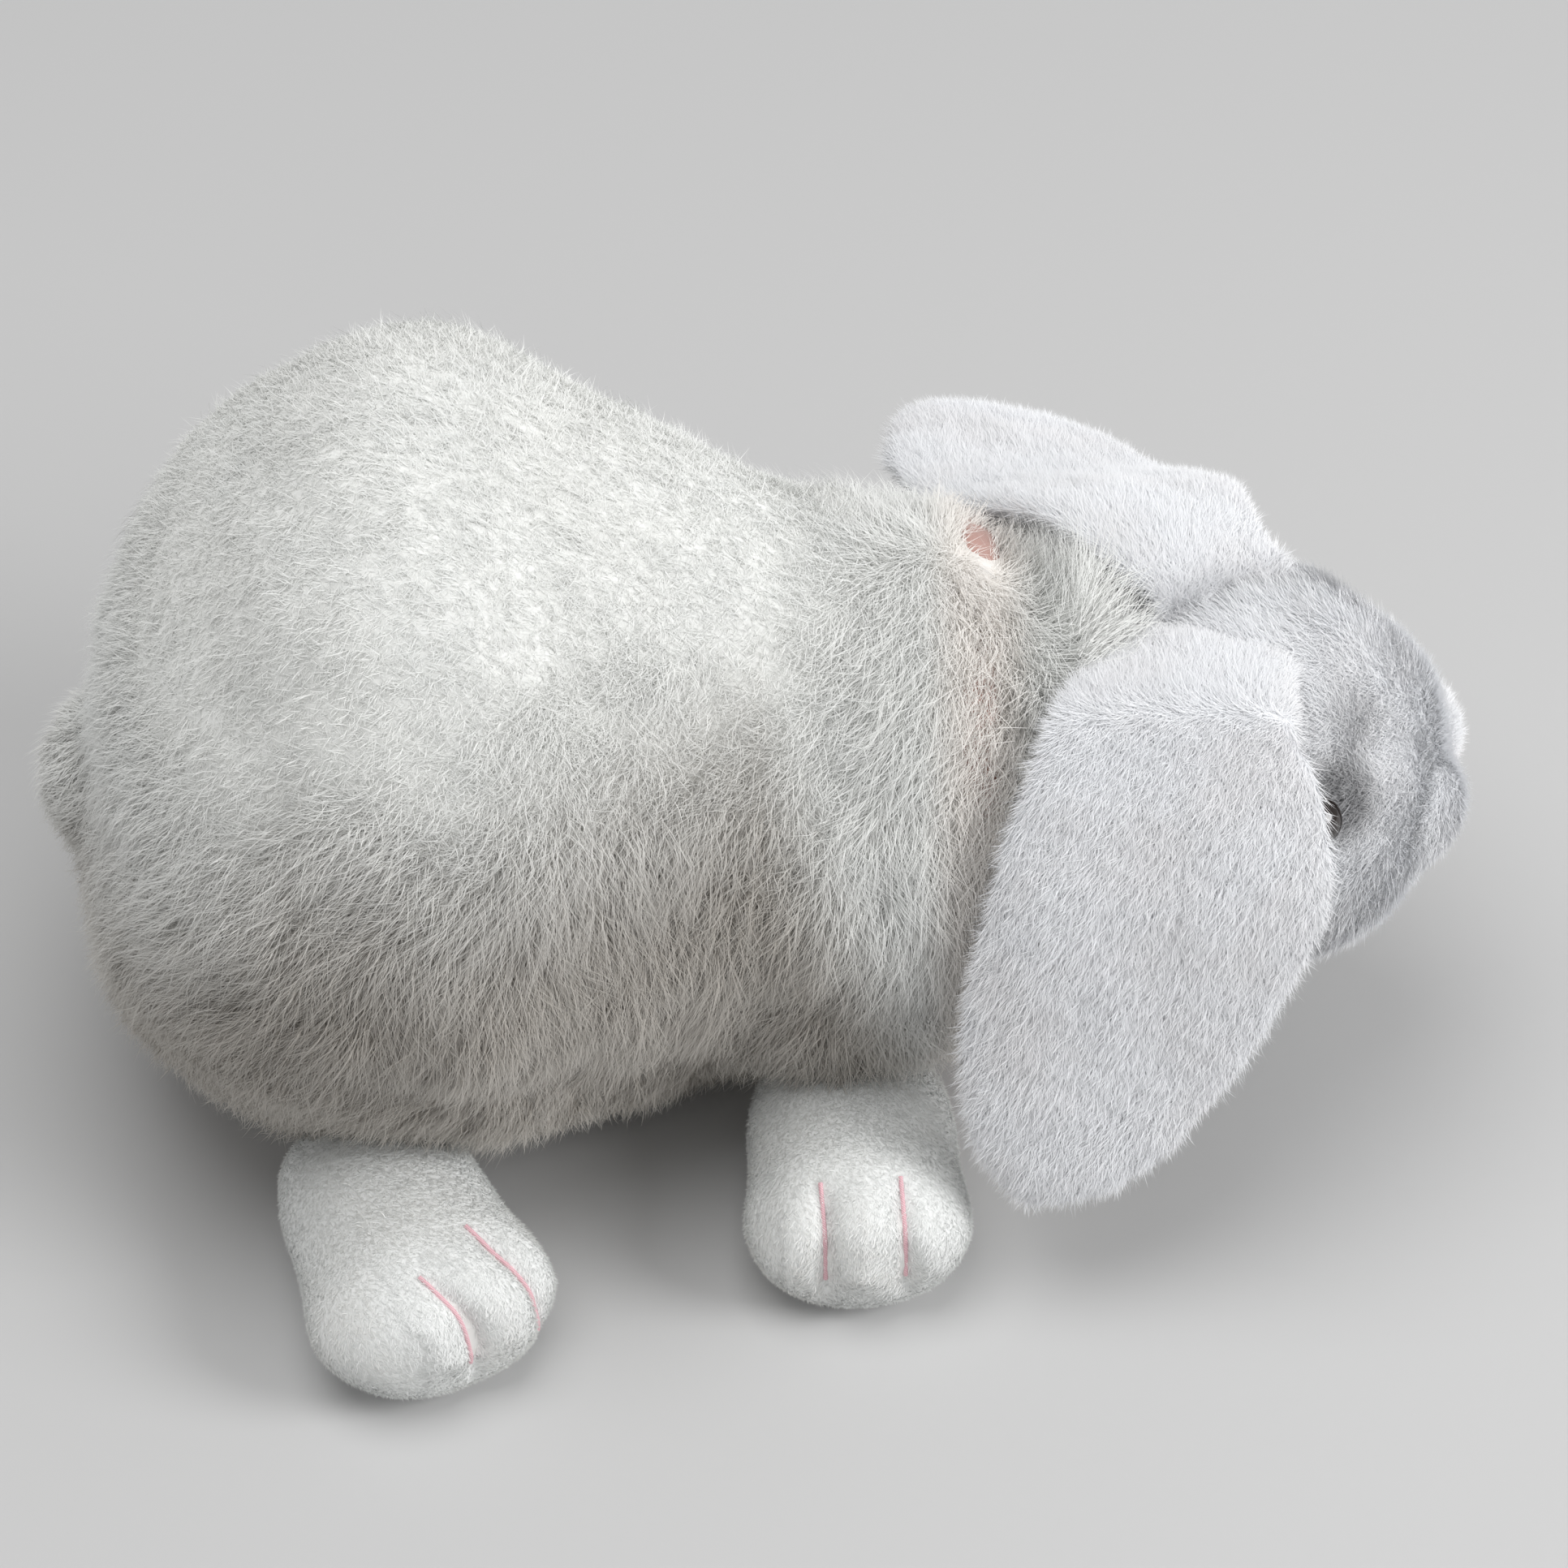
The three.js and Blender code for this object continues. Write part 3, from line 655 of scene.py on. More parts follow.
def sow_pile(name, panel, values, combing, body, slot, look=None):
    """Pile on a panel. combing(place, normal) gives the way, length, lean and share of blades there."""
    mesh = bpy.data.meshes.new(name)
    panel.to_mesh(mesh)
    panel.free()
    outwards = [Vector(entry.vector) for entry in mesh.attributes["out"].data]
    laid = [combing(vert.co, normal) for vert, normal in zip(mesh.vertices, outwards)]
    comb = mesh.attributes.new("comb", "FLOAT_VECTOR", "POINT")
    comb.data.foreach_set("vector", [part for entry in laid for part in entry[0]])
    for index, label in ((1, "length"), (2, "lean"), (3, "share")):
        layer = mesh.attributes.new(label, "FLOAT", "POINT")
        layer.data.foreach_set("value", [entry[index] for entry in laid])
    mesh.transform(Matrix.Scale(MM, 4))
    made = linked(name, mesh)
    tree = pile_nodes()
    sown = made.modifiers.new("pile", "NODES")
    sown.node_group = tree
    sockets = {item.name: item.identifier for item in tree.interface.items_tree if item.in_out == "INPUT"}
    blade = blade_object(values["Blade"])
    for label, value in dict(values, Blade=blade).items():
        sown[sockets[label]] = value
    depsgraph = bpy.context.evaluated_depsgraph_get()
    grown = bpy.data.meshes.new_from_object(
        made.evaluated_get(depsgraph), preserve_all_data_layers=True, depsgraph=depsgraph
    )
    made.modifiers.clear()
    made.data = grown
    bpy.data.meshes.remove(mesh)
    bpy.data.objects.remove(blade)
    grown.name = name
    for label in ("out", "comb", "length", "lean", "share", "spot", "root", "frizz", "across"):
        layer = grown.attributes.get(label)
        if layer:
            grown.attributes.remove(layer)
    grown.materials.clear()
    grown.materials.append(material_of(look or slot))
    join_frame(made, body)


def tangent_way(way, normal, swirl=0.0):
    """A way laid down on the cloth, turned round the normal by swirl radians."""
    flat = way - normal * way.dot(normal)
    if flat.length < 1e-4:
        flat = normal.orthogonal()
    flat.normalize()
    return Quaternion(normal, swirl) @ flat


# Materials

TINT_INPUTS = (
    ("Place", "NodeSocketVector"),
    ("Height", "NodeSocketFloat"),
    ("Tip", "NodeSocketColor"),
    ("Root", "NodeSocketColor"),
    ("Patch", "NodeSocketColor"),
    ("Patch Scale", "NodeSocketFloat"),
    ("Patch Amount", "NodeSocketFloat"),
)

# Painted shade, partly soil, low on the body's pile, where the flanks turn from the light and shade falls
# between the hairs:
# its colour, the heights in metres where it ends, and what raises a place above it, as (start along X, way,
# gain)
SHADE_AND_SOIL_COLOUR = (0.42, 0.385, 0.34)
SHADE_AND_SOIL_HEIGHTS = (0.083, 0.148)
SHADE_AND_SOIL_RISES = ((0.0, 1.0, 2.2), (0.095, -1.0, 0.8))
# Share of the painted shade and soil left at the pile's tips, which stand in more light than the roots
TIP_SHADE_AND_SOIL = {"long_pile": 0.75, "under_pile": 0.95}

# The ribbon's blush on the pile beside it: its colour, reach in metres and share
BLUSH = (0.9, 0.74, 0.64)
BLUSH_REACH = (0.003, 0.014)
BLUSH_SHARE = 0.22


def tint_group():
    """The colour of pile from root to tip, with soft patches."""
    found = bpy.data.node_groups.get("pile_tint")
    if found:
        return found
    tree, given = new_group("pile_tint", "ShaderNodeTree", TINT_INPUTS, ("Colour", "NodeSocketColor"))
    patches = add_node(tree, "ShaderNodeTexNoise", {
        "Vector": given["Place"], "Scale": given["Patch Scale"], "Detail": 3.0, "Roughness": 0.55,
    })
    share = maths(tree, "MULTIPLY", ramp(tree, patches.outputs["Fac"], 0.4, 0.68), given["Patch Amount"])
    patched = mixed(tree, share, given["Tip"], given["Patch"])
    rise = ramp(tree, given["Height"], 0.0, 0.6)
    add_node(tree, "NodeGroupOutput", {0: mixed(tree, rise, given["Root"], patched)})
    return tree


def new_material(name, values):
    """A material with one Principled shader, its tree, that shader's inputs and the place on the object."""
    material = bpy.data.materials.new(name)
    material.use_nodes = True
    tree = material.node_tree
    inputs = tree.nodes["Principled BSDF"].inputs
    for label, value in values.items():
        inputs[label].default_value = value
    return material, tree, inputs, add_node(tree, "ShaderNodeTexCoord").outputs["Object"]


def four(colour, factor=1.0):
    """A colour with alpha, made darker by a factor."""
    return (colour[0] * factor, colour[1] * factor, colour[2] * factor, 1.0)


def pile_material(name, tip, root, patch, scale, amount, sheen, tip_shade_and_soil=None, hollow_shades=()):
    """Pile, or the cloth under it where no height is stored; with painted shade, partly soil, low on the
    body if tip_shade_and_soil is given, and painted shade in the given hollows beside the eyes.
    """
    material, tree, inputs, place = new_material(name, {
        "Roughness": 0.9, "Sheen Weight": sheen, "Sheen Roughness": 0.6,
    })
    height = add_node(tree, "ShaderNodeAttribute", attribute_name="height").outputs["Fac"]
    colour = add_node(tree, "ShaderNodeGroup", {
        "Place": place, "Height": height, "Tip": four(tip), "Root": four(root), "Patch": four(patch),
        "Patch Scale": scale, "Patch Amount": amount,
    }, node_tree=tint_group()).outputs[0]
    # Painted shade, partly soil: darker towards the floor and at the roots of the pile
    if tip_shade_and_soil:
        parts = add_node(tree, "ShaderNodeSeparateXYZ", {0: place}).outputs
        rise = parts["Z"]
        for start, way, gain in SHADE_AND_SOIL_RISES:
            beyond = maths(tree, "MAXIMUM", maths(tree, "MULTIPLY_ADD", parts["X"], way, -start), 0.0)
            rise = maths(tree, "MULTIPLY_ADD", beyond, gain, rise)
        low = ramp(tree, rise, *SHADE_AND_SOIL_HEIGHTS, 1.0, 0.0)
        depth = ramp(tree, height, 0.2, 0.9, 1.0, tip_shade_and_soil, "LINEAR")
        colour = mixed(tree, maths(tree, "MULTIPLY", low, depth), colour, four(SHADE_AND_SOIL_COLOUR))
        near = maths(tree, "ABSOLUTE", maths(tree, "SUBTRACT", parts["X"], RIBBON_PLACE * MM))
        colour = mixed(tree, ramp(tree, near, *BLUSH_REACH, BLUSH_SHARE, 0.0), colour, four(BLUSH))
    # Painted shade darkens the pile in the hollows beside the eyes
    for centre, inner, outer, share in hollow_shades:
        aside = add_node(tree, "ShaderNodeVectorMath", {0: place}, operation="ABSOLUTE").outputs[0]
        near = add_node(tree, "ShaderNodeVectorMath", {0: aside, 1: centre}, operation="DISTANCE")
        near = ramp(tree, near.outputs["Value"], inner, outer, share, 0.0)
        colour = mixed(tree, near, colour, four(HOLLOW_SHADE_COLOUR))
    tree.links.new(colour, inputs["Base Color"])
    return material


def thread_material(name, colour, threads, roughness):
    """Thread or ribbon, with fine ribs across it, its colour painted darker in the grooves and lighter on
    the tops as shade and highlight.
    """
    material, tree, inputs, place = new_material(name, {"Roughness": roughness, "Sheen Weight": 0.3})
    ribs = add_node(tree, "ShaderNodeTexWave", {
        "Vector": place, "Scale": threads, "Distortion": 1.5, "Detail": 1.0,
    }, bands_direction="DIAGONAL").outputs["Fac"]
    # Painted shade in the grooves between ribs and painted highlight on their tops
    tree.links.new(mixed(tree, ribs, four(colour, 0.8), four(colour, 1.1)), inputs["Base Color"])
    relief = add_node(tree, "ShaderNodeBump", {"Strength": 0.35, "Distance": 0.0002, "Height": ribs})
    tree.links.new(relief.outputs[0], inputs["Normal"])
    return material


def plastic_material(name, dark, light, scale, roughness, coat):
    """Moulded plastic, with a faint cloud in its colour."""
    material, tree, inputs, place = new_material(name, {"Roughness": roughness, "Coat Weight": coat})
    cloud = add_node(tree, "ShaderNodeTexNoise", {"Vector": place, "Scale": scale, "Detail": 2.0})
    tree.links.new(mixed(tree, cloud.outputs["Fac"], four(dark), four(light)), inputs["Base Color"])
    return material


def material_of(name):
    """A material of the toy, made when it is first asked for."""
    label = f"rabbit_{name}"
    found = bpy.data.materials.get(label)
    if found:
        return found
    colours = bpy.context.scene.rabbit_colours
    cream = Vector(colours.cream)
    white = Vector(colours.white)
    velvet = Vector(colours.velvet)
    if name in TIP_SHADE_AND_SOIL:
        return pile_material(label, cream, cream, (0.84, 0.85, 0.835), 22.0, 0.9, 0.15, TIP_SHADE_AND_SOIL[name])
    if name == "short_pile":
        return pile_material(label, white, white, (0.91, 0.905, 0.91), 30.0, 0.5, 0.15, hollow_shades=EYE_HOLLOW_SHADES)
    if name == "ear_pile":
        return pile_material(label, white, white, (0.89, 0.88, 0.885), 30.0, 0.5, 0.15)
    if name == "paw_pile":
        return pile_material(label, velvet, velvet * 0.99, (0.96, 0.95, 0.92), 40.0, 0.6, 0.2)
    if name == "fibre":
        return pile_material(label, (0.9, 0.9, 0.88), (0.8, 0.8, 0.78), white, 60.0, 0.5, 0.1)
    if name == "pink_thread":
        return thread_material(label, colours.thread, 900.0, 0.55)
    if name == "coral_ribbon":
        return thread_material(label, colours.ribbon, 1400.0, 0.4)
    if name == "black_plastic":
        return plastic_material(label, (0.006, 0.004, 0.003), (0.02, 0.011, 0.007), 300.0, 0.08, 0.6)
    if name == "white_plastic":
        return plastic_material(label, (0.68, 0.68, 0.65), (0.76, 0.76, 0.73), 900.0, 0.45, 0.0)
    raise ValueError(name)


# Body


def body_form():
    """The body's outer face, opened for the head, with soft swells and a parting on the rump."""
    stations = [((x, 0, z), wide, thick) for x, z, wide, thick in BODY_SECTIONS]
    form = stuffed_form(stations, lambda share: ASIDE, BODY_GRID, AHEAD)
    start, end = PARTING

    def swell(place, normal):
        share = intersect_point_line(place, start, end)[1]
        nearest = start.lerp(end, min(1, max(0, share)))
        parting = PARTING_DEPTH * bump((place - nearest).length, PARTING_WIDTH)
        swells = sum(depth * noise.noise(place / size) for depth, size in BODY_SWELLS)
        return swells + BODY_LIFT - parting

    push(form, swell)
    rest_on_floor(form)
    cut_across(form, UP * BELLY_SEAM, UP)
    cut_across(form, Vector(), ASIDE)
    open_round(form, HEAD, NECK_OPENING)
    keep_normals(form)
    return form


def comb_body(place, normal, thinning=0.75):
    """The lie of the body's pile: matted on the rump, down the flanks, and up the neck to the ears."""
    top = ease(0.05, 0.6, normal.z)
    neck = ease(0, 32, place.x)
    collar = ease(50, 60, place.x) * top
    matted = top * (1 - 0.65 * neck)
    low = ease(80, 30, place.z)
    underneath = ease(0.0, -0.55, normal.z)
    rear = ease(-95, -125, place.x)
    under_waist = ease(-55, -35, place.x) * ease(10, -8, place.x) * ease(64, 44, place.z)
    hip = ease(26, 8, (place - Vector((-108, math.copysign(60, place.y), 16))).length)

    side = math.copysign(min(1, abs(place.y) / 25), place.y)
    way = Vector((-0.55, 0, -1)).lerp(Vector((-1, 0.4 * side, -0.1)), top)
    way = way.lerp(Vector((-0.2, 0.9 * side * top, -1 + 0.6 * top)), neck)
    way = way.lerp(Vector((0.5, ease(-14, 4, place.y), 0.4)), collar)
    swirl = 0.8 * noise.noise(place / 36)
    swirl += (0.45 + 0.8 * matted) * noise.noise(place / 13 + Vector((7, 3, 1)))

    length = 0.95 + 0.2 * low + 0.15 * neck * (1 - top) - 0.68 * matted
    length *= 1 + 0.3 * noise.noise(place / 16 + Vector((3, 9, 5)))
    length *= 0.55 + 0.45 * max(ease(70, 56, place.x), collar)
    length *= 1 - 0.6 * underneath
    length *= 1 - 0.2 * rear
    length *= 1 - 0.45 * under_waist
    length *= 1 + collar
    length *= 1 + 0.9 * hip
    lean = 0.92 + 0.04 * matted - 0.28 * collar
    share = (1 - thinning * matted) * (1 - 0.8 * ease(-0.3, -0.7, normal.z))
    if place.z > 100:
        aside = place - RIBBON_SHOWS
        covered = ease(0.85, 1.15, math.hypot(aside.x / 4.5, aside.y / 10))
        length *= 0.15 + 0.85 * covered
        share *= 0.03 + 0.97 * covered
    return tangent_way(way, normal, swirl) * (1 - 0.55 * matted), length, lean, share


def comb_undercoat(place, normal):
    """The lie of the short, dense pile under the long one."""
    way, length, lean, share = comb_body(place, normal, 0.0)
    return way * 0.7, length, min(lean + 0.02, 0.97), share


class MakeBody(bpy.types.Operator):
    """Make the body's three sewn panels and the ribbon round the neck"""

    bl_idname = "rabbit.make_body"
    bl_label = "Body"

    def execute(self, context):
        form = body_form()
        panels = (
            ("back_left", lambda c: c.y > 0 and c.z > BELLY_SEAM),
            ("back_right", lambda c: c.y < 0 and c.z > BELLY_SEAM),
            ("belly", lambda c: c.z < BELLY_SEAM),
        )
        for name, keep in panels:
            panel = panel_of(form, keep)
            cloth_piece(f"{name}_cover", panel, BODY_CLOTH, "body", "long_pile", f"{name}_panel")
        form.free()
        self.make_ribbon()
        return {"FINISHED"}

    def make_ribbon(self):
        places = [Vector((x, z, 0)) for x, z, wide, thick in BODY_SECTIONS]
        sizes = [Vector((wide, thick, 0)) for x, z, wide, thick in BODY_SECTIONS]
        ribbon = bmesh.new()
        bmesh.ops.create_cone(ribbon, segments=120, radius1=1, radius2=1, depth=RIBBON_WIDTH)
        crossing = [edge for edge in ribbon.edges if abs(edge.verts[0].co.z - edge.verts[1].co.z) > 1]
        bmesh.ops.subdivide_edges(ribbon, edges=crossing, cuts=3)
        for vert in ribbon.verts:
            along = vert.co.z
            turn = math.atan2(vert.co.y, vert.co.x)
            wobble = 0.5 * noise.noise(Vector((3 * math.cos(turn), 3 * math.sin(turn), 4)))
            x = RIBBON_PLACE + along + wobble
            low, high = 0.0, 1.0
            for step in range(24):
                middle = (low + high) / 2
                if spline(places, middle).x < x:
                    low = middle
                else:
                    high = middle
            size = spline(sizes, low)
            lift = 1.9 + 0.35 * math.cos(along / RIBBON_WIDTH * math.pi)
            height = spline(places, low).y + (size.y + lift) * math.sin(turn)
            vert.co = (x, (size.x + lift) * math.cos(turn), height)
        ribbon.normal_update()
        bmesh.ops.recalc_face_normals(ribbon, faces=ribbon.faces)
        made = mesh_piece("neck_ribbon_band", ribbon, "body", "coral_ribbon", "neck_ribbon")
        thicken(made, RIBBON_THICKNESS)


class MakeBodyPile(bpy.types.Operator):
    """Sow the long pile on the body, over a shorter undercoat"""

    bl_idname = "rabbit.make_body_pile"
    bl_label = "Body pile"

    def execute(self, context):
        pile = context.scene.rabbit_pile
        form = body_form()
        values = dict(UNDER_PILE, Count=pile.under_count / MM ** 2, Length=0.6 * pile.back_length)
        for index, (name, side) in enumerate(SIDES):
            values["Seed"] = pile.seed + UNDERCOAT_SEED + SEED_STEP * index
            panel = panel_of(form, lambda c, side=side: c.z > BELLY_SEAM and c.y * side > 0)
            patch = f"back_{name}_undercoat"
            sow_pile(patch, panel, values, comb_undercoat, "body", "long_pile", "under_pile")
        cuts = (-80.0, -30.0)
        for place in cuts:
            cut_across(form, AHEAD * place, AHEAD)
        patches = [("belly_pile", lambda c: c.z < BELLY_SEAM)]
        stretches = (("rear", -500, cuts[0]), ("rump", cuts[0], cuts[1]), ("waist", cuts[1], 500))
        for name, side in SIDES:
            for stretch, low, high in stretches:
                patches.append((
                    f"back_{name}_{stretch}_pile",
                    lambda c, side=side, low=low, high=high: (
                        c.z > BELLY_SEAM and c.y * side > 0 and low < c.x < high
                    ),
                ))
        values = dict(LONG_PILE, Count=pile.back_count / MM ** 2, Length=pile.back_length)
        for index, (name, keep) in enumerate(patches):
            values["Seed"] = pile.seed + SEED_STEP * index
            sow_pile(name, panel_of(form, keep), values, comb_body, "body", "long_pile")
        form.free()
        return {"FINISHED"}


class MakeTail(bpy.types.Operator):
    """Make the tail puff and its pile"""

    bl_idname = "rabbit.make_tail"
    bl_label = "Tail"

    def execute(self, context):
        pile = context.scene.rabbit_pile
        seam = TAIL + AHEAD * TAIL_SEAM
        form = ball_form(TAIL, TAIL_RADIUS, TAIL_GRID)
        cut_across(form, seam, AHEAD)
        keep_normals(form)
        puff = panel_of(form, lambda c: c.x < seam.x)
        form.free()
        sown = puff.copy()
        cloth_piece("tail_puff", puff, TAIL_CLOTH, "tail", "long_pile", "tail_cover")

        def comb(place, normal):
            swirl = 0.9 * noise.noise(place / 11)
            return tangent_way(Vector((-0.6, 0, -1)), normal, swirl), 1.0, 0.78, 1.0

        values = dict(
            TAIL_PILE, Count=pile.tail_count / MM ** 2, Seed=pile.seed + TAIL_SEED, Length=pile.tail_length
        )
        sow_pile("tail_pile", sown, values, comb, "tail", "long_pile")
        return {"FINISHED"}


# Head


def head_shape(place, normal):
    """How far the head's cover is drawn in at its seams and round the eyes, and out at the brow."""
    move = 0.0
    for side in (LEFT, RIGHT):
        seam = abs(place.y - side * GUSSET_HALF_WIDTH)
        above = ease(GUSSET_FOOT - 3, GUSSET_FOOT + 6, place.z)
        ahead = ease(88, 104, place.x)
        move -= 0.9 * bump(seam, 2.6) * above * (0.35 + 0.65 * ahead)
        eye_way = Vector((EYE_WAY.x + 0.06, side * EYE_WAY.y, EYE_WAY.z + 0.03)).normalized()
        move -= 2.0 * bump((place - (HEAD + eye_way * HEAD_RADIUS)).length, 9.5)
        hollow = HEAD + Vector((0.6, side * 0.5, 0.62)) * HEAD_RADIUS
        move -= 4.0 * bump((place - hollow).length, 8)
    brow = HEAD + Vector((0.55, 0, 0.8)).normalized() * HEAD_RADIUS
    move += 3.2 * bump((place - brow).length, 22)
    return move + 0.5 * noise.noise(place / 15)


def head_form():
    """The head's outer face, cut along the gusset's seams."""
    form = ball_form(HEAD, HEAD_RADIUS, HEAD_GRID)
    push(form, head_shape)
    cut_across(form, ASIDE * GUSSET_HALF_WIDTH, ASIDE)
    cut_across(form, ASIDE * -GUSSET_HALF_WIDTH, ASIDE)
    cut_across(form, UP * GUSSET_FOOT, UP)
    cut_across(form, Vector(), ASIDE)
    keep_normals(form)
    return form


def in_gusset(centre):
    """Whether a face of the head belongs to the panel over the crown and forehead."""
    return abs(centre.y) < GUSSET_HALF_WIDTH and centre.z > GUSSET_FOOT


def muzzle_form():
    """The muzzle's puff, drawn in at the middle and opened where it is sewn to the head."""
    stations = [
        (
            (MUZZLE.x, share * MUZZLE_HALF_WIDTH, MUZZLE.z),
            size * MUZZLE_HALF_DEPTH,
            size * MUZZLE_HALF_HEIGHT,
        )
        for share, size in MUZZLE_SECTIONS
    ]
    form = stuffed_form(stations, lambda share: -AHEAD, MUZZLE_GRID, ASIDE)

    def draw_in(place, normal):
        lower = ease(MUZZLE.z + 10, MUZZLE.z - 6, place.z)
        return -2.4 * bump(place.y, 3.2) * lower + 0.4 * noise.noise(place / 9)

    push(form, draw_in)
    open_round(form, HEAD, HEAD_RADIUS + 0.3)
    keep_normals(form)
    return form


def comb_head(place, normal):
    """The lie of the head's pile, back from the nose, with none inside the neck."""
    swirl = 0.7 * noise.noise(place / 12)
    share = ease(-0.75, -0.5, (place - HEAD).normalized().x)
    root = Vector((EAR_ROOT.x, math.copysign(EAR_ROOT.y, place.y), EAR_ROOT.z - 4))
    beside = ease(24, 12, (place - root).length)
    length = 1 + 0.2 * noise.noise(place / 8) + 0.4 * beside
    return tangent_way(Vector((-1, 0, 0.15)), normal, swirl), length, 0.91 - 0.08 * beside, share


def comb_muzzle(place, normal):
    """The lie of the muzzle's pile, out from the nose."""
    away = place - Vector((HEAD.x + HEAD_RADIUS, 0, HEAD.z + 2))
    swirl = 0.4 * noise.noise(place / 9)
    return tangent_way(away, normal, swirl), 0.85 + 0.15 * noise.noise(place / 7), 0.91, 1.0


class MakeHead(bpy.types.Operator):
    """Make the head's cover, the muzzle and their pile"""

    bl_idname = "rabbit.make_head"
    bl_label = "Head"

    def execute(self, context):
        pile = context.scene.rabbit_pile
        form = head_form()
        panels = (
            ("gusset", "head_gusset", in_gusset),
            ("left_cheek", "left_cheek_panel", lambda c: c.y > 0 and not in_gusset(c)),
            ("right_cheek", "right_cheek_panel", lambda c: c.y < 0 and not in_gusset(c)),
        )
        values = dict(SHORT_PILE, Count=pile.short_count / MM ** 2, Length=pile.head_length)
        for index, (name, node, keep) in enumerate(panels):
            values["Seed"] = pile.seed + HEAD_SEED + SEED_STEP * index
            cloth_piece(f"{name}_cover", panel_of(form, keep), HEAD_CLOTH, "head", "short_pile", node)
            sow_pile(f"{name}_pile", panel_of(form, keep), values, comb_head, "head", "short_pile")
        form.free()
        form = muzzle_form()
        values["Seed"] = pile.seed + MUZZLE_SEED
        sow_pile("muzzle_pile", form.copy(), values, comb_muzzle, "head", "short_pile")
        cloth_piece("muzzle_puff", form, MUZZLE_CLOTH, "head", "short_pile", "muzzle")
        return {"FINISHED"}


def turned_shape(profile, centre, way):
    """A round shape spun from (radius, height) points about a way out of a centre."""
    shape = bmesh.new()
    line = [shape.verts.new((radius, 0, height)) for radius, height in profile]
    edges = [shape.edges.new(pair) for pair in zip(line, line[1:])]
    bmesh.ops.spin(
        shape, geom=line + edges, cent=(0, 0, 0), axis=UP, angle=math.tau, steps=40, use_merge=True
    )
    bmesh.ops.remove_doubles(shape, verts=shape.verts, dist=1e-4)
    settle(shape)
    shape.normal_update()
    bmesh.ops.recalc_face_normals(shape, faces=shape.faces)
    turn = UP.rotation_difference(way).to_matrix().to_4x4()
    bmesh.ops.transform(shape, matrix=Matrix.Translation(centre) @ turn, verts=shape.verts)
    return shape


class MakeFace(bpy.types.Operator):
    """Make the eyes, the nose and the mouth's thread"""

    bl_idname = "rabbit.make_face"
    bl_label = "Face"

    def execute(self, context):
        self.make_eyes()
        self.make_nose()
        self.make_mouth()
        for name in ("right_eye_washer", "left_eye_washer"):
            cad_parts[name].material_slots[0].material = material_of("white_plastic")
        return {"FINISHED"}

    def make_eyes(self):
        seat = HEAD_RADIUS + 0.3
        foot = HEAD_RADIUS - EYE_STEM_DEPTH
        profile = [(0, foot), (EYE_STEM_RADIUS, foot)]
        profile += [(EYE_STEM_RADIUS, seat - 2.4), (EYE_RADIUS - 0.5, seat - 2.4), (EYE_RADIUS, seat - 1.9)]
        steps = 12
        for index in range(steps):
            angle = index / steps * math.pi / 2
            profile.append((EYE_RADIUS * math.cos(angle), seat - 1.2 + (EYE_DOME + 1.2) * math.sin(angle)))
        profile.append((0, seat + EYE_DOME))
        for name, side in SIDES:
            shape = turned_shape(profile, HEAD, mirrored(EYE_WAY, side).normalized())
            mesh_piece(f"{name}_eye_button", shape, "head", "black_plastic", f"{name}_eye")

    def make_nose(self):
        low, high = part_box("nose")
        centre = (low + high) / 2 / MM
        size = (high - low) / 2 / MM
        nose = bmesh.new()
        bmesh.ops.create_uvsphere(nose, u_segments=40, v_segments=24, radius=1)
        settle(nose)
        for vert in nose.verts:
            narrow = 0.55 + 0.45 * ease(-1, 0.35, vert.co.z)
            rib = 0.05 * math.cos(vert.co.y * 26)
            vert.co = Vector((
                centre.x + vert.co.x * (size.x + 0.3 + rib * 3),
                centre.y + vert.co.y * size.y * narrow,
                centre.z + vert.co.z * size.z,
            ))
        mesh_piece("nose_pad", nose, "head", "pink_thread", "nose")

    def make_mouth(self):
        low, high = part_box("mouth_stitch")
        forms = (muzzle_form(), head_form())
        trees = [BVHTree.FromBMesh(form) for form in forms]
        path = []
        for step in range(13):
            height = (high.z + (low.z - high.z) * step / 12) / MM
            hits = [tree.ray_cast(Vector((200, 0, height)), -AHEAD)[0] for tree in trees]
            front = max(hit.x for hit in hits if hit)
            path.append(Vector((front + 1.2, 0, height)))
        for form in forms:
            form.free()
        thread_piece("mouth_thread", path, MOUTH_THREAD, "head", "mouth_stitch")


# Ears


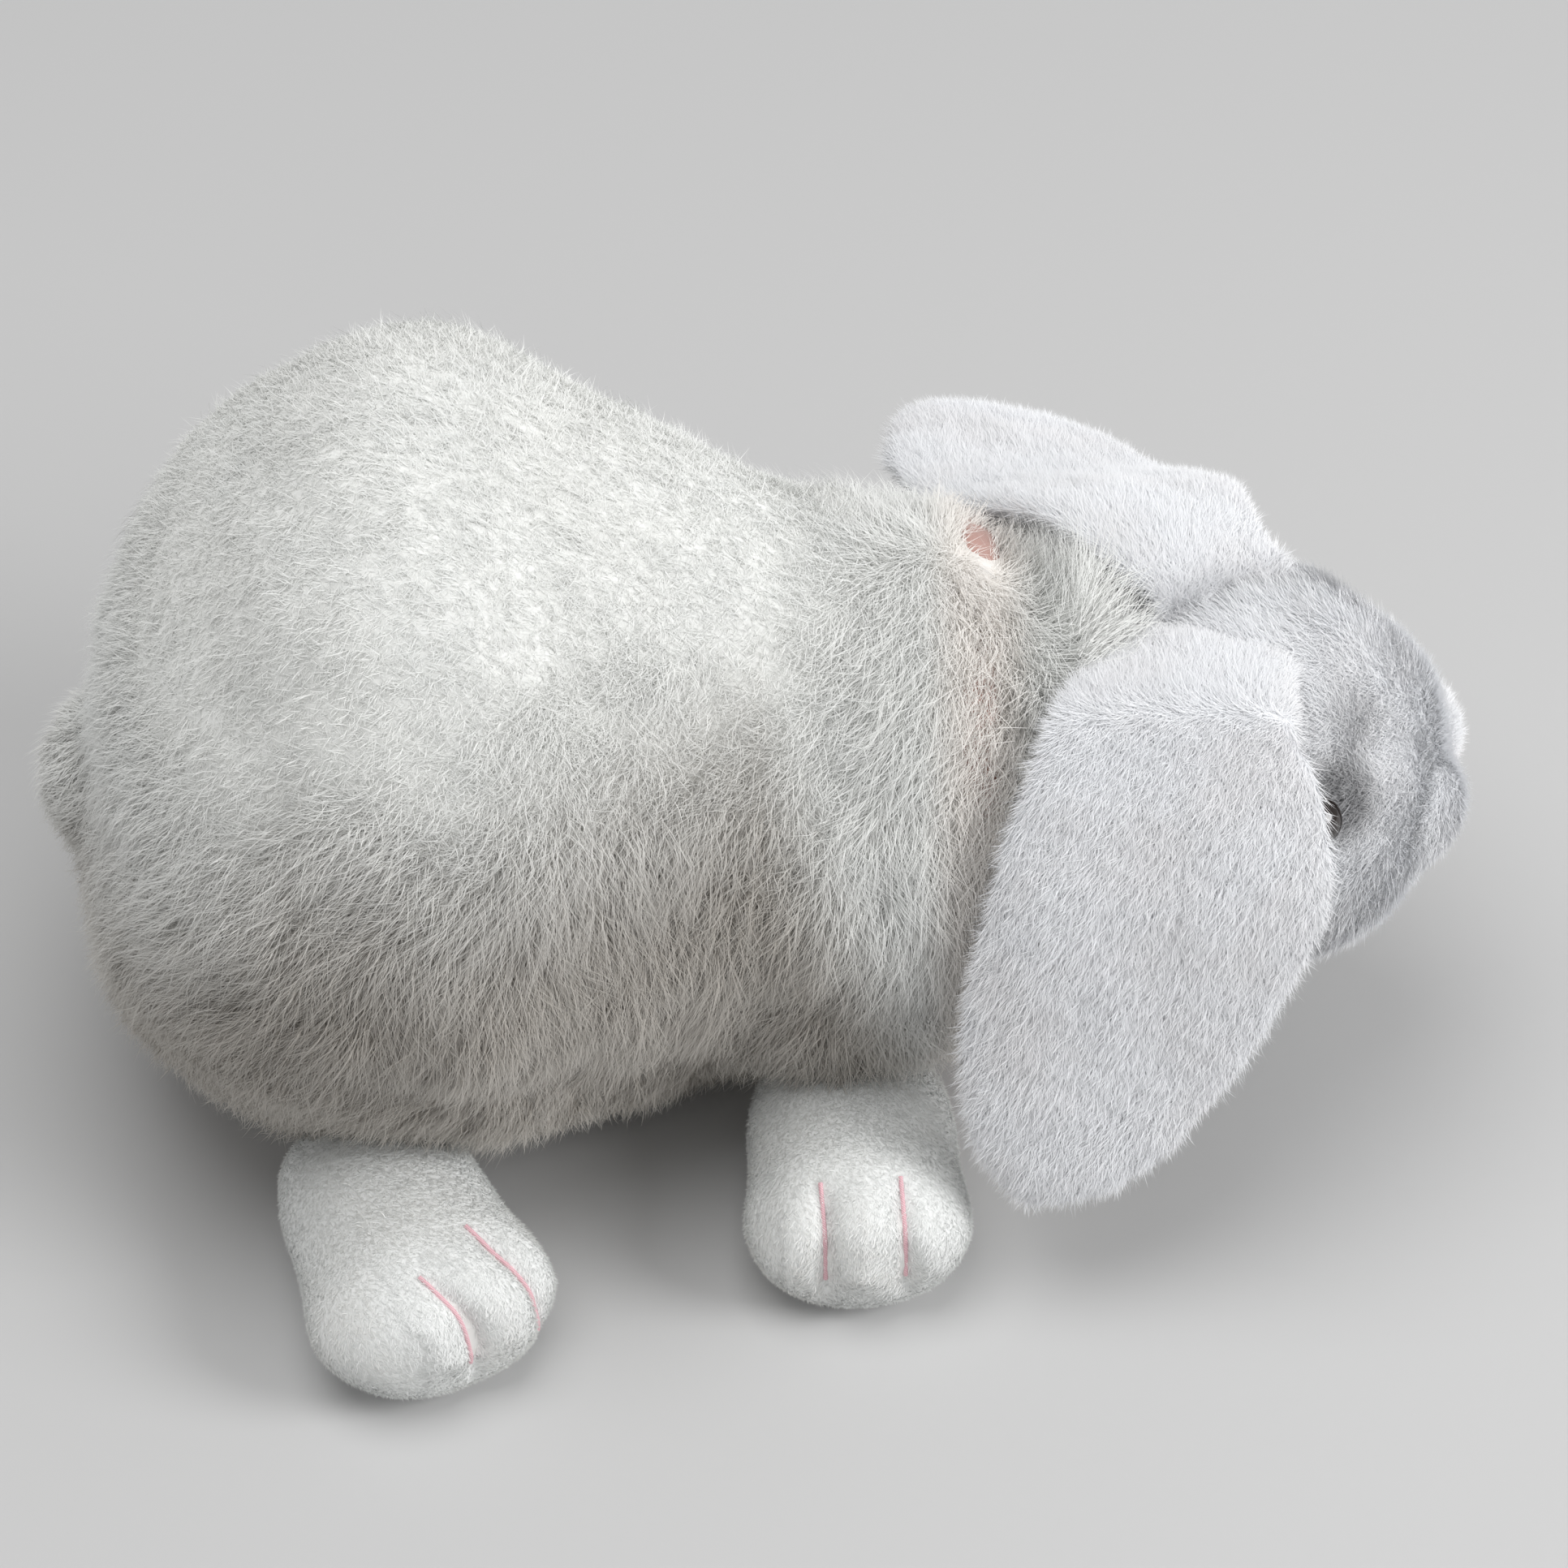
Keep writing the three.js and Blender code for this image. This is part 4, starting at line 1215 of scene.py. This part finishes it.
def ear_form(side, reach, spread):
    """An ear's outer face, from its root sunk in the crown to its tip, and the way that it reaches."""
    root = mirrored(EAR_ROOT, side)
    root_line = mirrored((math.cos(EAR_ROOT_TURN), math.sin(EAR_ROOT_TURN), 0), side)
    spread_line = mirrored(spread, side)
    shoulder, middle, lower, tip = [root + mirrored(place, side) for place in reach]
    outwards = (shoulder - root).normalized()
    down = -UP
    half = EAR_HALF_THICKNESS
    stations = [
        (root - outwards * 2.4 * half + down * 8, 0, 0),
        (root - outwards * 2.0 * half + down * 6.5, 0.42 * EAR_ROOT_WIDTH, 0.4 * half),
        (root - outwards * 1.1 * half + down * 3.4, 0.475 * EAR_ROOT_WIDTH, 0.75 * half),
        (root + down * 0.8, 0.5 * EAR_ROOT_WIDTH, half),
        (shoulder, 0.25 * (EAR_ROOT_WIDTH + EAR_WIDTH), half),
        (middle, 0.5 * EAR_WIDTH, half),
        (lower, 0.42 * EAR_WIDTH, half),
        (lower.lerp(tip, 0.7), 0.25 * EAR_WIDTH, 0.85 * half),
        (tip, 0, 0),
    ]

    def side_at(share):
        past_root = max(0, (share * (len(stations) - 1) - 1) / (len(stations) - 2))
        return root_line.lerp(spread_line, min(1, 2 * past_root)) * -side

    form = stuffed_form(stations, side_at, EAR_GRID)
    push(form, lambda place, normal: 0.7 * noise.noise(place / 17))
    keep_normals(form)
    return form, (tip - root).normalized()


def half_ear(form, outer):
    """The back of an ear, or its lining."""
    panel = form.copy()
    spot = panel.verts.layers.float_vector["spot"]
    gone = []
    for face in panel.faces:
        turns = [vert[spot].x for vert in face.verts]
        middle = sum(turns) / len(turns)
        if max(turns) - min(turns) > 0.5:
            middle = 0.99
        if (middle < 0.5) != outer:
            gone.append(face)
    bmesh.ops.delete(panel, geom=gone, context="FACES")
    return panel


class MakeEars(bpy.types.Operator):
    """Make the two lop ears, each a back and a lining, with their pile"""

    bl_idname = "rabbit.make_ears"
    bl_label = "Ears"

    def execute(self, context):
        pile = context.scene.rabbit_pile
        values = dict(SHORT_PILE, Length=pile.ear_length)
        ears = (
            ("right_ear", RIGHT, HANGING_REACH, HANGING_SPREAD, Vector((0.2, 1, 0))),
            ("left_ear", LEFT, THROWN_REACH, THROWN_SPREAD, Vector((-0.4, 0.9, 0))),
        )
        for index, (name, side, reach, spread, root_way) in enumerate(ears):
            form, along = ear_form(side, reach, spread)

            def comb(place, normal, along=along, root_way=root_way):
                swirl = 0.6 * noise.noise(place / 14)
                way = along.lerp(root_way, ease(EAR_ROOT.y + 30, EAR_ROOT.y + 6, abs(place.y)))
                clear = ease(HEAD_RADIUS - 2, HEAD_RADIUS + 2, (place - HEAD).length)
                length = 1 + 0.2 * noise.noise(place / 9)
                return tangent_way(way, normal, swirl), length, 0.91, clear

            for half, (layer, share) in enumerate((("back", 1.0), ("lining", LINING_SHARE))):
                panel = half_ear(form, layer == "back")
                node = f"{name}_{layer}"
                values["Seed"] = pile.seed + EAR_SEED + SEED_STEP * (2 * index + half)
                values["Count"] = pile.short_count / MM ** 2 * share
                sow_pile(f"{node}_pile", panel.copy(), values, comb, name, "short_pile", "ear_pile")
                cloth_piece(f"{node}_cover", panel, EAR_CLOTH, name, "short_pile", node, "ear_pile")
            form.free()
        return {"FINISHED"}


# Legs


def leg_axes(side, sizes):
    """The hip and the way out along the leg."""
    turn = math.radians(sizes["turn"])
    hip = Vector((sizes["x"], side * sizes["y"], HIP_HEIGHT))
    return hip, mirrored((math.sin(turn), math.cos(turn), 0), side)


def toe_axes(side, sizes):
    """The middle of the paw, the way that the toes point, and the way across them."""
    hip, outwards = leg_axes(side, sizes)
    middle = hip + outwards * (PAW_MIDDLE * sizes["length"])
    middle.z = PAW_HEIGHT
    turn = math.radians(sizes["turn"] + sizes["toe turn"])
    ahead = mirrored((math.sin(turn), math.cos(turn), 0), side)
    return middle, ahead, mirrored((math.cos(turn), -math.sin(turn), 0), side)


def leg_form(side, sizes):
    """A leg's outer face, with the grooves between its three toes."""
    hip, outwards = leg_axes(side, sizes)
    length = sizes["length"]
    root = sizes["root"]
    wide = sizes["wide"]
    paw = sizes["paw"]
    pad = PAW_HALF_THICKNESS

    def station(distance, height, half_width, half_thickness):
        place = hip + outwards * distance
        place.z = height
        return (place, half_width, half_thickness)

    round_off = math.sqrt(0.5)
    stations = [
        station(-root, HIP_HEIGHT, 0, 0),
        station(-root * round_off, HIP_HEIGHT, wide * round_off, root * round_off),
        station(0, HIP_HEIGHT, wide, root),
        station(0.38 * length, (HIP_HEIGHT + PAW_HEIGHT) / 2, (wide + paw) / 2, (root + pad) / 2),
        station(0.7 * length, PAW_HEIGHT, paw, pad),
        station(0.92 * length, PAW_HEIGHT, 0.72 * paw, 0.72 * pad),
        station(length, PAW_HEIGHT, 0, 0),
    ]
    form = stuffed_form(stations, lambda share: AHEAD * -side, LEG_GRID, outwards)
    middle, ahead, across = toe_axes(side, sizes)

    def toes(place, normal):
        out = (place - middle).dot(ahead)
        aside = (place - middle).dot(across)
        near = ease(TOE_LINE_START - 3, TOE_LINE_START + 9, out)
        groove = bump(aside + TOE_LINE, 1.9) + bump(aside - TOE_LINE, 1.9)
        crown = math.cos(aside / TOE_LINE * math.pi) if abs(aside) < 2 * TOE_LINE else 0.4
        top = ease(-0.7, 0.1, normal.z)
        return near * top * (0.8 * crown - 2.4 * groove) + 0.35 * noise.noise(place / 11)

    push(form, toes)
    rest_on_floor(form)
    cut_across(form, UP * SOLE_SEAM, UP)
    keep_normals(form)
    return form


class MakeLegs(bpy.types.Operator):
    """Make the four legs, each an upper and a sole with toe stitches"""

    bl_idname = "rabbit.make_legs"
    bl_label = "Legs"

    def execute(self, context):
        pile = context.scene.rabbit_pile
        values = dict(PAW_PILE, Count=pile.paw_count / MM ** 2, Length=pile.paw_length)
        legs = (
            ("right_front_leg", RIGHT, FRONT_LEG),
            ("left_front_leg", LEFT, FRONT_LEG),
            ("right_hind_leg", RIGHT, HIND_LEG),
            ("left_hind_leg", LEFT, HIND_LEG),
        )
        for index, (name, side, sizes) in enumerate(legs):
            form = leg_form(side, sizes)
            outwards = leg_axes(side, sizes)[1]

            def comb(place, normal, outwards=outwards):
                swirl = 0.5 * noise.noise(place / 12)
                under = ease(-0.6, -0.95, normal.z)
                return tangent_way(outwards, normal, swirl), 1.0, 0.9, 1 - 0.7 * under

            values["Seed"] = pile.seed + LEG_SEED + SEED_STEP * index
            sow_pile(f"{name}_pile", form.copy(), values, comb, name, "paw_pile")
            for half, keep in (("upper", lambda c: c.z > SOLE_SEAM), ("sole", lambda c: c.z < SOLE_SEAM)):
                node = f"{name}_{half}"
                cloth_piece(f"{node}_cover", panel_of(form, keep), LEG_CLOTH, name, "paw_pile", node)
            self.stitch_toes(name, side, sizes, form)
            form.free()
        return {"FINISHED"}

    def stitch_toes(self, name, side, sizes, form):
        middle, ahead, across = toe_axes(side, sizes)
        tree = BVHTree.FromBMesh(form)
        bend = TOE_LINE_START + 5
        for place, line in (("rear", -TOE_LINE), ("fore", TOE_LINE)):
            start = middle + across * line
            rays = [(start + ahead * (TOE_LINE_START + step), UP) for step in range(5)]
            pivot = start + ahead * bend
            for step in range(14):
                angle = math.radians(86 - 8.5 * step)
                rays.append((pivot, ahead * math.cos(angle) + UP * math.sin(angle)))
            path = []
            for origin, way in rays:
                hit = tree.ray_cast(origin + way * 60, -way)[0]
                if hit:
                    path.append(hit + way * 0.35)
            thread_piece(f"{name}_toe_thread_{place}", path, TOE_THREAD, name, f"{name}_toe_stitch_{place}")


class DressStuffing(bpy.types.Operator):
    """Give the hidden stuffing its fibre"""

    bl_idname = "rabbit.dress_stuffing"
    bl_label = "Stuffing"

    def execute(self, context):
        for name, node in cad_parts.items():
            if name.endswith("_stuffing"):
                node.material_slots[0].material = material_of("fibre")
        return {"FINISHED"}


# Stage

LIT_PLACE = Vector((0, 0, 0.05))
SEEN_PLACE = Vector((0.0052, -0.012, 0.0882))
CAMERA_WAY = Vector((0, -math.sqrt(0.5), math.sqrt(0.5)))


class MakeStage(bpy.types.Operator):
    """Make the floor, the lights and the camera"""

    bl_idname = "rabbit.make_stage"
    bl_label = "Stage"

    def execute(self, context):
        stage = context.scene.rabbit_stage
        self.make_floor(stage)
        self.make_lights(context.scene, stage)
        self.make_camera(context.scene, stage)
        return {"FINISHED"}

    def make_floor(self, stage):
        shape = bmesh.new()
        bmesh.ops.create_circle(shape, cap_ends=True, segments=64, radius=6)
        mesh = bpy.data.meshes.new("floor")
        shape.to_mesh(mesh)
        shape.free()
        material = new_material("pale_floor", {"Roughness": 0.8, "Base Color": four(stage.floor)})[0]
        mesh.materials.append(material)
        linked("floor", mesh)

    def make_lights(self, scene, stage):
        world = bpy.data.worlds.new("even_light")
        world.use_nodes = True
        background = world.node_tree.nodes["Background"]
        background.inputs["Color"].default_value = (1, 1, 1, 1)
        background.inputs["Strength"].default_value = stage.ambient
        scene.world = world
        lamps = (
            ("overhead", stage.overhead, 1.1, Vector((-0.2, -0.1, 1.35))),
            ("fill", stage.fill, 0.9, Vector((1.5, -0.5, 0.95))),
        )
        for name, power, size, place in lamps:
            lamp = bpy.data.lights.new(name, "AREA")
            lamp.shape = "DISK"
            lamp.size = size
            lamp.energy = power
            light = linked(name, lamp)
            light.location = place
            light.rotation_euler = (LIT_PLACE - place).to_track_quat("-Z", "Y").to_euler()
        scene.view_settings.view_transform = "Standard"

    def make_camera(self, scene, stage):
        lens = bpy.data.cameras.new("photo_view")
        lens.sensor_width = 36
        lens.lens = lens.sensor_width * stage.distance / stage.view_width
        lens.clip_start = 0.05
        lens.clip_end = 50
        camera = linked("photo_view", lens)
        camera.location = SEEN_PLACE + CAMERA_WAY * stage.distance
        camera.rotation_euler = (-CAMERA_WAY).to_track_quat("-Z", "Y").to_euler()
        scene.camera = camera


class RABBIT_PT_build(bpy.types.Panel):
    """The toy's pieces, in the order that they are made"""

    bl_label = "Rabbit"
    bl_space_type = "VIEW_3D"
    bl_region_type = "UI"
    bl_category = "Rabbit"

    def draw(self, context):
        for operator in OPERATORS:
            self.layout.operator(operator.bl_idname)
        for group in (context.scene.rabbit_pile, context.scene.rabbit_colours, context.scene.rabbit_stage):
            for name in group.__annotations__:
                self.layout.prop(group, name)


GROUPS = (RabbitPile, RabbitColours, RabbitStage)
OPERATORS = (
    MakeStage, MakeBody, MakeBodyPile, MakeTail, MakeHead, MakeFace, MakeEars, MakeLegs, DressStuffing,
)


def register():
    for made in GROUPS + OPERATORS + (RABBIT_PT_build,):
        bpy.utils.register_class(made)
    bpy.types.Scene.rabbit_pile = PointerProperty(type=RabbitPile)
    bpy.types.Scene.rabbit_colours = PointerProperty(type=RabbitColours)
    bpy.types.Scene.rabbit_stage = PointerProperty(type=RabbitStage)


def unregister():
    del bpy.types.Scene.rabbit_stage
    del bpy.types.Scene.rabbit_colours
    del bpy.types.Scene.rabbit_pile
    for made in reversed(GROUPS + OPERATORS + (RABBIT_PT_build,)):
        bpy.utils.unregister_class(made)


def main():
    register()
    bpy.ops.rabbit.make_stage()
    bpy.ops.rabbit.make_body()
    bpy.ops.rabbit.make_body_pile()
    bpy.ops.rabbit.make_tail()
    bpy.ops.rabbit.make_head()
    bpy.ops.rabbit.make_face()
    bpy.ops.rabbit.make_ears()
    bpy.ops.rabbit.make_legs()
    bpy.ops.rabbit.dress_stuffing()


if __name__ == "__main__":
    main()
